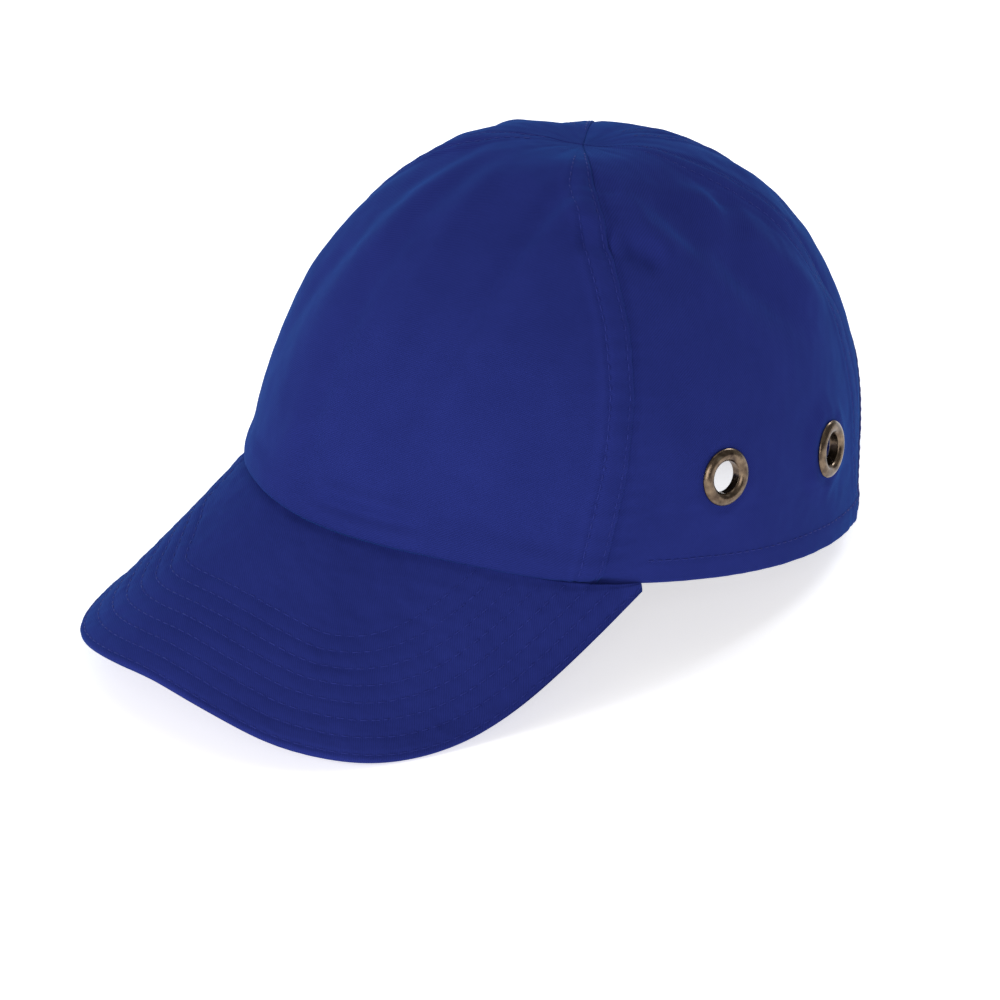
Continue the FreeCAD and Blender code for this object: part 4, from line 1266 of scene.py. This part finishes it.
def pad_mesh(name, a0, a1, z0, z1, sign=1):
    aa = np.radians(a0 + (a1 - a0) * ends_dense(90.0, 3.0, 3.0)) * sign
    zz = ends_dense(28.0, 2.5, 3.0)
    PH, TZ = np.meshgrid(aa, zz, indexing="ij")
    Z = z0 + (z1 - z0) * TZ
    Wp = w_of(PH, Z)
    C = crown(PH, Wp)
    n = crown_n(PH, Wp)
    f = 1 - sstep(Wp, 0.55, 0.9)
    d = 3.4 + (shell_gap(PH) - 3.4) * f + 2.12
    du, dv = arc_of(C, 0), arc_of(C, 1)
    e = np.minimum(np.minimum(du, du[-1:] - du), np.minimum(dv, dv[:, -1:] - dv))
    prof = np.sqrt(np.clip(1 - (1 - np.clip(e / 2.6, 0, 1)) ** 2, 0, 1))
    mid = d + 3.0
    half = 2.35 * (0.04 + 0.96 * prof)
    return slab_mesh(C - n * (mid - half)[..., None], C - n * (mid + half)[..., None], np.stack([du, dv], -1), name, sign < 0)


def top_mesh(name):
    rr = np.sin(np.linspace(0, 1, 16) * np.pi / 2)
    th = np.linspace(0, 2 * np.pi, 49)[:-1]
    R_, T_ = np.meshgrid(rr, th, indexing="ij")
    k = (np.abs(np.cos(T_)) ** 2.6 + np.abs(np.sin(T_)) ** 2.6) ** (-1 / 2.6)
    x, y = 28.6 * R_ * k * np.cos(T_), YA + 36.6 * R_ * k * np.sin(T_)
    u = np.full_like(x, 0.97)
    for _ in range(80):
        yy = y - YA * u ** 1.5
        ph = np.arctan2(x, -yy)
        c = np.cos(ph)
        wf, wb = np.where(c > 0, c * c, 0), np.where(c < 0, c * c, 0)
        ws = 1 - wf - wb
        p_, q_ = PF * wf + PB * wb + PS * ws, QF * wf + QB * wb + QS * ws
        gg = np.minimum(np.hypot(x, yy) / plan_r(ph), 1.0)
        u = 0.5 * u + 0.5 * (1 - gg ** q_) ** (1 / p_)
    Wt = w_of(ph, H * u)
    C = crown(ph, Wt)
    C = np.where((np.hypot(x, y - YA) < 1.5)[..., None], np.stack([x, y, H + 0 * x], -1), C)
    n = crown_n(ph, np.minimum(Wt, 0.985))
    n = np.where((np.hypot(x, y - YA) < 4.0)[..., None], np.array([0, 0, 1.0]), n)
    edge = (1 - R_) * 30.0
    prof = np.sqrt(np.clip(1 - (1 - np.clip(edge / 2.6, 0, 1)) ** 2, 0, 1))
    mid = 3.4 + 2.0 + 0.3 + 3.0
    half = 2.35 * (0.04 + 0.96 * prof)
    V, F = [], []
    up, dn = C - n * (mid - half)[..., None], C - n * (mid + half)[..., None]
    nu, nv = R_.shape
    V = np.concatenate([up.reshape(-1, 3), dn.reshape(-1, 3)])
    m = nu * nv
    F = []
    for i in range(nu - 1):
        for j in range(nv):
            j1 = (j + 1) % nv
            F.append([i * nv + j, (i + 1) * nv + j, (i + 1) * nv + j1, i * nv + j1])
            F.append([m + i * nv + j, m + i * nv + j1, m + (i + 1) * nv + j1, m + (i + 1) * nv + j])
    i = nu - 1
    for j in range(nv):
        j1 = (j + 1) % nv
        F.append([i * nv + j, m + i * nv + j, m + i * nv + j1, i * nv + j1])
    me = mesh_from(world(V), F, None, name)
    bm = bmesh.new()
    bm.from_mesh(me)
    bmesh.ops.remove_doubles(bm, verts=bm.verts, dist=1e-5)
    bmesh.ops.recalc_face_normals(bm, faces=bm.faces)
    bm.to_mesh(me)
    bm.free()
    return me


def baked(o):
    dg = bpy.context.evaluated_depsgraph_get()
    new = bpy.data.meshes.new_from_object(o.evaluated_get(dg))
    o.modifiers.clear()
    old = o.data
    o.data = new
    bpy.data.meshes.remove(old)


def coords(me):
    c = np.zeros(len(me.vertices) * 3)
    me.vertices.foreach_get("co", c)
    return c.reshape(-1, 3)


def local(pw):
    """the frame's metres -> wearing frame, mm"""
    q = np.asarray(pw) * 1000.0 - SHIFT
    return np.stack([q[:, 0], q[:, 1] * CT + q[:, 2] * ST, -q[:, 1] * ST + q[:, 2] * CT], -1)


PADS = [("pad_cushion_front", "pad_front", pad_mesh("pad_cushion_front", -40, 40, 42.3, 71.7)),
        ("pad_cushion_left", "pad_left", pad_mesh("pad_cushion_left", 62, 112, 51.3, 77.7)),
        ("pad_cushion_right", "pad_right", pad_mesh("pad_cushion_right", 62, 112, 51.3, 77.7, -1)),
        ("pad_cushion_back", "pad_back", pad_mesh("pad_cushion_back", 146, 214, 52.3, 79.7)),
        ("pad_cushion_top", "pad_top", top_mesh("pad_cushion_top"))]
pads = []
for nm, cad, me in PADS:
    o = link(me, nm, MAT_PAD, "insert")
    md = o.modifiers.new("remesh", "REMESH")
    md.mode = "VOXEL"
    md.voxel_size = 0.0026
    baked(o)
    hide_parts(cad)
    pads.append((o, coords(o.data)))
for o, rest in pads:
    cl = o.modifiers.new("cloth", "CLOTH")
    st = cl.settings
    st.quality = 4
    st.mass = 0.15
    st.tension_stiffness = 15
    st.bending_stiffness = 0.5
    st.use_pressure = True
    st.uniform_pressure_force = 4.0
    st.effector_weights.gravity = 0.0
    cl.point_cache.frame_start = 1
    cl.point_cache.frame_end = 20
for f in range(1, 21):
    bpy.context.scene.frame_set(f)
dg = bpy.context.evaluated_depsgraph_get()
done = []
for o, rest in pads:
    ev = o.evaluated_get(dg).to_mesh()
    c = coords(ev)
    o.evaluated_get(dg).to_mesh_clear()
    done.append(c)
for (o, rest), c in zip(pads, done):
    o.modifiers.clear()
    d = c - rest
    L = np.linalg.norm(d, axis=1, keepdims=True)
    d *= np.minimum(1.0, 0.0011 / np.maximum(L, 1e-9))
    o.data.vertices.foreach_set("co", (rest + d).ravel())
    o.data.update()
bpy.context.scene.frame_set(1)
for (o, rest), (nm, cad, _) in zip(pads, PADS):
    md = o.modifiers.new("sub", "SUBSURF")
    md.levels = md.render_levels = 1
    baked(o)
    # sewn channels on the face towards the head
    c = local(coords(o.data))
    if cad == "pad_top":
        rho = np.hypot(c[:, 0] / 28.6, (c[:, 1] - YA) / 36.6)
        gr = bump((rho - 0.62) * 30.0, 0.9) + bump((rho - 0.93) * 30.0, 0.7) * 0.6
        face = 1.0 * (c[:, 2] < H - 8.4)
        nrm = np.array([[0, 0, -1.0]]).repeat(len(c), 0)
    else:
        uu = np.clip(c[:, 2] / H, 0, 1)
        ph = np.arctan2(c[:, 0], -(c[:, 1] - YA * uu ** 1.5))
        w = w_of(ph, c[:, 2])
        cc = crown(ph, w)
        dep = np.linalg.norm(c - cc, axis=1)
        nrm = -crown_n(ph, w)
        a = np.degrees(np.abs(wrap(ph)))
        face = 1.0 * (dep > 8.2)
        step = {"pad_front": (0, 20.0), "pad_back": (180, 17.0)}.get(cad, (87.0, 16.7))
        gr = sum(bump(np.radians(a - q) * 92.0, 0.95) for q in (step[0] - step[1], step[0], step[0] + step[1]))
    c = c - nrm * (0.95 * face * np.clip(gr, 0, 1))[:, None]
    o.data.vertices.foreach_set("co", world(c).ravel())
    o.data.update()
    o.data.polygons.foreach_set("use_smooth", np.ones(len(o.data.polygons), bool))
    o.data.materials.clear()
    o.data.materials.append(MAT_PAD)

# --------------------------------------------------------------- rear strap
CY = 35.5


def left_in(a):
    return 75.0 + (67.1 - 75.0) * sstep(a, 11.0, 29.0)


def right_in(a):
    return 70.48 + (66.8 - 70.48) * sstep(-a, 30.5, 40.5)


def strap_grid(a0, a1, fn, tip0=0.0, tip1=0.0, z0=2.0, z1=25.0, mid=0.6):
    L = math.radians(abs(a1 - a0)) * 73.0
    t = ends_dense(L, 1.5, max(tip0, tip1, 0.8))
    a = a0 + (a1 - a0) * t
    d = t * L
    ins = np.zeros_like(t)
    for tip, e in ((tip0, d), (tip1, L - d)):
        if tip:
            x = np.clip(e / tip, 0, 1)
            ins = np.maximum(ins, tip * (1 - np.sqrt(1 - (1 - x) ** 2)))
    tz = ends_dense(z1 - z0, 1.2, 0.8)
    Z = (z0 + ins)[:, None] + (z1 - z0 - 2 * ins)[:, None] * tz[None, :]
    r = (fn(a) + mid)[:, None] + 0 * Z
    th = np.radians(a)[:, None] + 0 * Z
    P = np.stack([r * np.sin(th), CY + r * np.cos(th), Z], -1)
    Nn = np.stack([np.sin(th), np.cos(th), 0 * Z], -1)
    return P, Nn, a, Z


def pt_at(a, r, z=13.5):
    t = math.radians(a)
    return tuple(world(np.array([r * math.sin(t), CY + r * math.cos(t), z])))


MAT_STRAP = twill("strap_twill", tuple(c * 0.95 for c in NAVY), angle=45.0, sheen=0.1)
P, Nn, A_, Z_ = strap_grid(-36.0, 62.0, left_in, tip0=6.0)
ev = np.minimum(Z_ - 2.0, 25.0 - Z_)
wv = 0.10 * Noise(41, 17.0, 20)(P)
sd_ = -0.22 * bump(ev - 2.4, 0.5) + 0.10 * (1 - sstep(ev, 1.6, 3.0)) + wv * sstep(ev, 0, 5)
o, _, _ = soft_strip("strap_left_cloth", P, Nn, 1.15, MAT_STRAP, body=None, edge=0.55, out_d=sd_,
                     node=["strap_left_root", "strap_left_flap"], flip=False)
pt_at(13.0, 75.6)
pt_at(4.5, 75.6)
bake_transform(o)


def strap_rows(a0, a1, fn, body, name, tip=0.0, edge=2.4, face=1, blend=False):
    a = np.linspace(a0, a1, 160)
    th = np.radians(a)
    rows = []
    for z in (2.0 + edge, 25.0 - edge):
        r = fn(a) + (1.15 if face > 0 else 0.05) - 0.08 * face
        rows.append((np.stack([r * np.sin(th), CY + r * np.cos(th), np.full_like(a, z)], -1),
                     np.stack([np.sin(th), np.cos(th), 0 * a], -1) * face))
    if tip:
        z = np.linspace(2.0 + edge + 0.5, 25.0 - edge - 0.5, 30)
        r = float(fn(np.array(a0))) + 1.07
        t = math.radians(a0)
        rows.append((np.stack([np.full_like(z, r * math.sin(t)), np.full_like(z, CY + r * math.cos(t)), z], -1),
                     np.tile([math.sin(t), math.cos(t), 0.0], (len(z), 1))))
    o = stitches(name, rows, body=None if blend else body)
    if blend:
        pt_at(13.0, 75.6)
        pt_at(4.5, 75.6)
        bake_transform(o)
    return o


strap_rows(-32.5, 60.0, left_in, None, "stitching_strap_left", tip=1, blend=True)
P, Nn, A_, Z_ = strap_grid(-57.0, -8.0, right_in, tip1=5.0)
ev = np.minimum(Z_ - 2.0, 25.0 - Z_)
sd_ = -0.20 * bump(ev - 2.4, 0.5) + 0.04 * Noise(42, 15.0, 20)(P)
soft_strip("strap_right_cloth", P, Nn, 1.15, MAT_STRAP, edge=0.55, in_d=sd_, node="strap_right",
           flip=False)
strap_rows(-55.0, -9.6, right_in, "crown", "stitching_strap_right", face=-1)

# hook tape, with its rows of hooks
t = ends_dense(33.0, 1.4, 0.6)
aH = -35.0 + 26.0 * t
tz = ends_dense(20.0, 1.4, 0.6)
TH, ZZ = np.meshgrid(np.radians(aH), 3.5 + 20.0 * tz, indexing="ij")
rH = 74.68
P = np.stack([rH * np.sin(TH), CY + rH * np.cos(TH), ZZ], -1)
Nn = np.stack([np.sin(TH), np.cos(TH), 0 * TH], -1)
hook_o, _, _ = soft_strip("hook_tape_base", P, Nn, 0.55, MAT_HOOK, body="strap_flap", edge=0.3, node="hook_tape",
                          flip=False)
V, F, base = [], [], 0
for ai in np.arange(-34.0, -9.6, 1.05):
    for k, zi in enumerate(np.arange(4.9, 22.4, 1.15)):
        a = math.radians(ai + (0.5 if k % 2 else 0.0))
        er = np.array([-math.sin(a), -math.cos(a), 0.0])
        et = np.array([math.cos(a), -math.sin(a), 0.0])
        c0 = np.array([(rH - 0.27) * math.sin(a), CY + (rH - 0.27) * math.cos(a), zi])
        path = [c0 - er * 0.1, c0 + er * 0.22, c0 + er * 0.36 + et * 0.10, c0 + er * 0.38 + et * 0.28, c0 + er * 0.26 + et * 0.38]
        for q, pnt in enumerate(path):
            rad_ = 0.11 if q < 4 else 0.06
            d = path[min(q + 1, 4)] - path[max(q - 1, 0)]
            d /= np.linalg.norm(d)
            u1 = np.array([0, 0, 1.0])
            u2 = np.cross(d, u1)
            for j in range(4):
                V.append(pnt + rad_ * (math.cos(j * math.pi / 2) * u1 + math.sin(j * math.pi / 2) * u2))
        for q in range(4):
            for j in range(4):
                j1 = (j + 1) % 4
                F.append([base + q * 4 + j, base + q * 4 + j1, base + (q + 1) * 4 + j1, base + (q + 1) * 4 + j])
        F.append([base + 3, base + 2, base + 1, base])
        F.append([base + 16, base + 17, base + 18, base + 19])
        base += 20
me = mesh_from(world(np.array(V)), F, None, "hook_tape_hooks")
link(me, "hook_tape_hooks", MAT_HOOK, "strap_flap")

# loop tape, with its pile
t = ends_dense(28.0, 1.0, 0.9)
aL = -30.5 + 22.0 * t
tz = ends_dense(20.0, 1.0, 0.9)
TH, ZZ = np.meshgrid(np.radians(aL), 3.5 + 20.0 * tz, indexing="ij")
rL = 72.5
P = np.stack([rL * np.sin(TH), CY + rL * np.cos(TH), ZZ], -1)
Nn = np.stack([np.sin(TH), np.cos(TH), 0 * TH], -1)
soft_strip("loop_tape_pile", P, Nn, 1.5, MAT_LOOP, edge=0.8, node="loop_tape", out_d=0.16 * Noise(51, 1.8, 40)(P),
           flip=False)
V, F, base = [], [], 0
for _ in range(620):
    a = math.radians(RNG.uniform(-30.1, -8.9))
    zi = RNG.uniform(4.2, 22.8)
    er = np.array([math.sin(a), math.cos(a), 0.0])
    et = np.array([math.cos(a), -math.sin(a), 0.0])
    g_ = RNG.uniform(0, 2 * math.pi)
    side_ = et * math.cos(g_) + np.array([0, 0, 1.0]) * math.sin(g_)
    c0 = np.array([(rL + 0.72) * math.sin(a), CY + (rL + 0.72) * math.cos(a), zi])
    wd_ = RNG.uniform(0.25, 0.5)
    ht = RNG.uniform(0.18, 0.42)
    path = [c0 + side_ * wd_ * math.cos(t_) + er * ht * math.sin(t_) for t_ in np.linspace(-0.3, math.pi + 0.3, 7)]
    bn = np.cross(side_, er)
    for q, pnt in enumerate(path):
        d = path[min(q + 1, 6)] - path[max(q - 1, 0)]
        d /= np.linalg.norm(d)
        u2 = np.cross(d, bn)
        for j in range(3):
            V.append(pnt + 0.055 * (math.cos(j * 2.0944) * bn + math.sin(j * 2.0944) * u2))
    for q in range(6):
        for j in range(3):
            j1 = (j + 1) % 3
            F.append([base + q * 3 + j, base + q * 3 + j1, base + (q + 1) * 3 + j1, base + (q + 1) * 3 + j])
    base += 21
me = mesh_from(world(np.array(V)), F, None, "loop_tape_loops")
link(me, "loop_tape_loops", MAT_LOOP, "crown")

# ------------------------------------------------------ camera, light, floor
AZ, EL, DIST, FPX = rad(47.449), rad(26.271), 2600.0, 8367.325
AXO, AYO = -14.909, -58.009
back_v = np.array([math.sin(AZ) * math.cos(EL), -math.cos(AZ) * math.cos(EL), math.sin(EL)])
right_v = np.array([math.cos(AZ), math.sin(AZ), 0.0])
up_v = np.cross(back_v, right_v)
loc = np.array([0, 0, 60.0]) + back_v * DIST + right_v * AXO + up_v * AYO
dt = rad(-12.33 + 11.56)


def turn(v):
    return np.array([v[0], v[1] * math.cos(dt) - v[2] * math.sin(dt), v[1] * math.sin(dt) + v[2] * math.cos(dt)])


loc = (turn(loc) + SHIFT) / 1000.0
R = [turn(right_v), turn(up_v), turn(back_v)]
cam_d = bpy.data.cameras.new("camera")
cam_d.sensor_width = 36.0
cam_d.lens = FPX / 1000.0 * 36.0
cam_d.clip_end = 20.0
cam = bpy.data.objects.new("camera", cam_d)
COLL.objects.link(cam)
cam.matrix_world = Matrix([[R[0][0], R[1][0], R[2][0], loc[0]], [R[0][1], R[1][1], R[2][1], loc[1]],
                           [R[0][2], R[1][2], R[2][2], loc[2]], [0, 0, 0, 1]])
bpy.context.scene.camera = cam

me = bpy.data.meshes.new("floor")
me.from_pydata([(-6, -6, 0), (6, -6, 0), (6, 6, 0), (-6, 6, 0)], [], [(0, 1, 2, 3)])
floor = bpy.data.objects.new("floor", me)
COLL.objects.link(floor)
fm, nt, b = new_mat("floor_paper")
b.inputs["Base Color"].default_value = (0.90, 0.90, 0.905, 1)
b.inputs["Roughness"].default_value = 0.95
b.inputs["Specular IOR Level"].default_value = 0.0
b.inputs["Emission Color"].default_value = (1.0, 0.985, 0.995, 1)
b.inputs["Emission Strength"].default_value = 0.62
me.materials.append(fm)

wd = bpy.data.worlds.new("studio")
bpy.context.scene.world = wd
wd.use_nodes = True
bg = wd.node_tree.nodes["Background"]
bg.inputs[0].default_value = (0.985, 0.99, 1.0, 1)
bg.inputs[1].default_value = 0.22


def area(name, pos, target, size, power, col=(1, 1, 1)):
    d = bpy.data.lights.new(name, "AREA")
    d.shape = "SQUARE"
    d.size = size
    d.energy = power
    d.color = col
    o = bpy.data.objects.new(name, d)
    COLL.objects.link(o)
    v = Vector(target) - Vector(pos)
    o.matrix_world = Matrix.Translation(Vector(pos)) @ v.to_track_quat("-Z", "Y").to_matrix().to_4x4()
    return o


area("key", (-0.6, -2.0, 0.80), (0, 0, 0.06), 0.55, 17.5)
area("front", (1.7, -1.4, 0.9), (0, 0, 0.06), 1.3, 17.0)
area("top", (-0.1, 0.2, 2.2), (0, 0, 0.06), 1.3, 4.0)
area("back", (-0.3, 1.9, 1.5), (0, 0, 0.06), 0.8, 20.0, (0.90, 0.95, 1.0))
area("rim", (-1.5, 0.6, 0.7), (0, 0, 0.08), 0.9, 10.0, (0.55, 0.82, 1.0))
sc = bpy.context.scene
sc.view_settings.view_transform = "Standard"
sc.view_settings.look = "None"
sc.view_settings.exposure = 0.0
sc.view_settings.gamma = 1.0
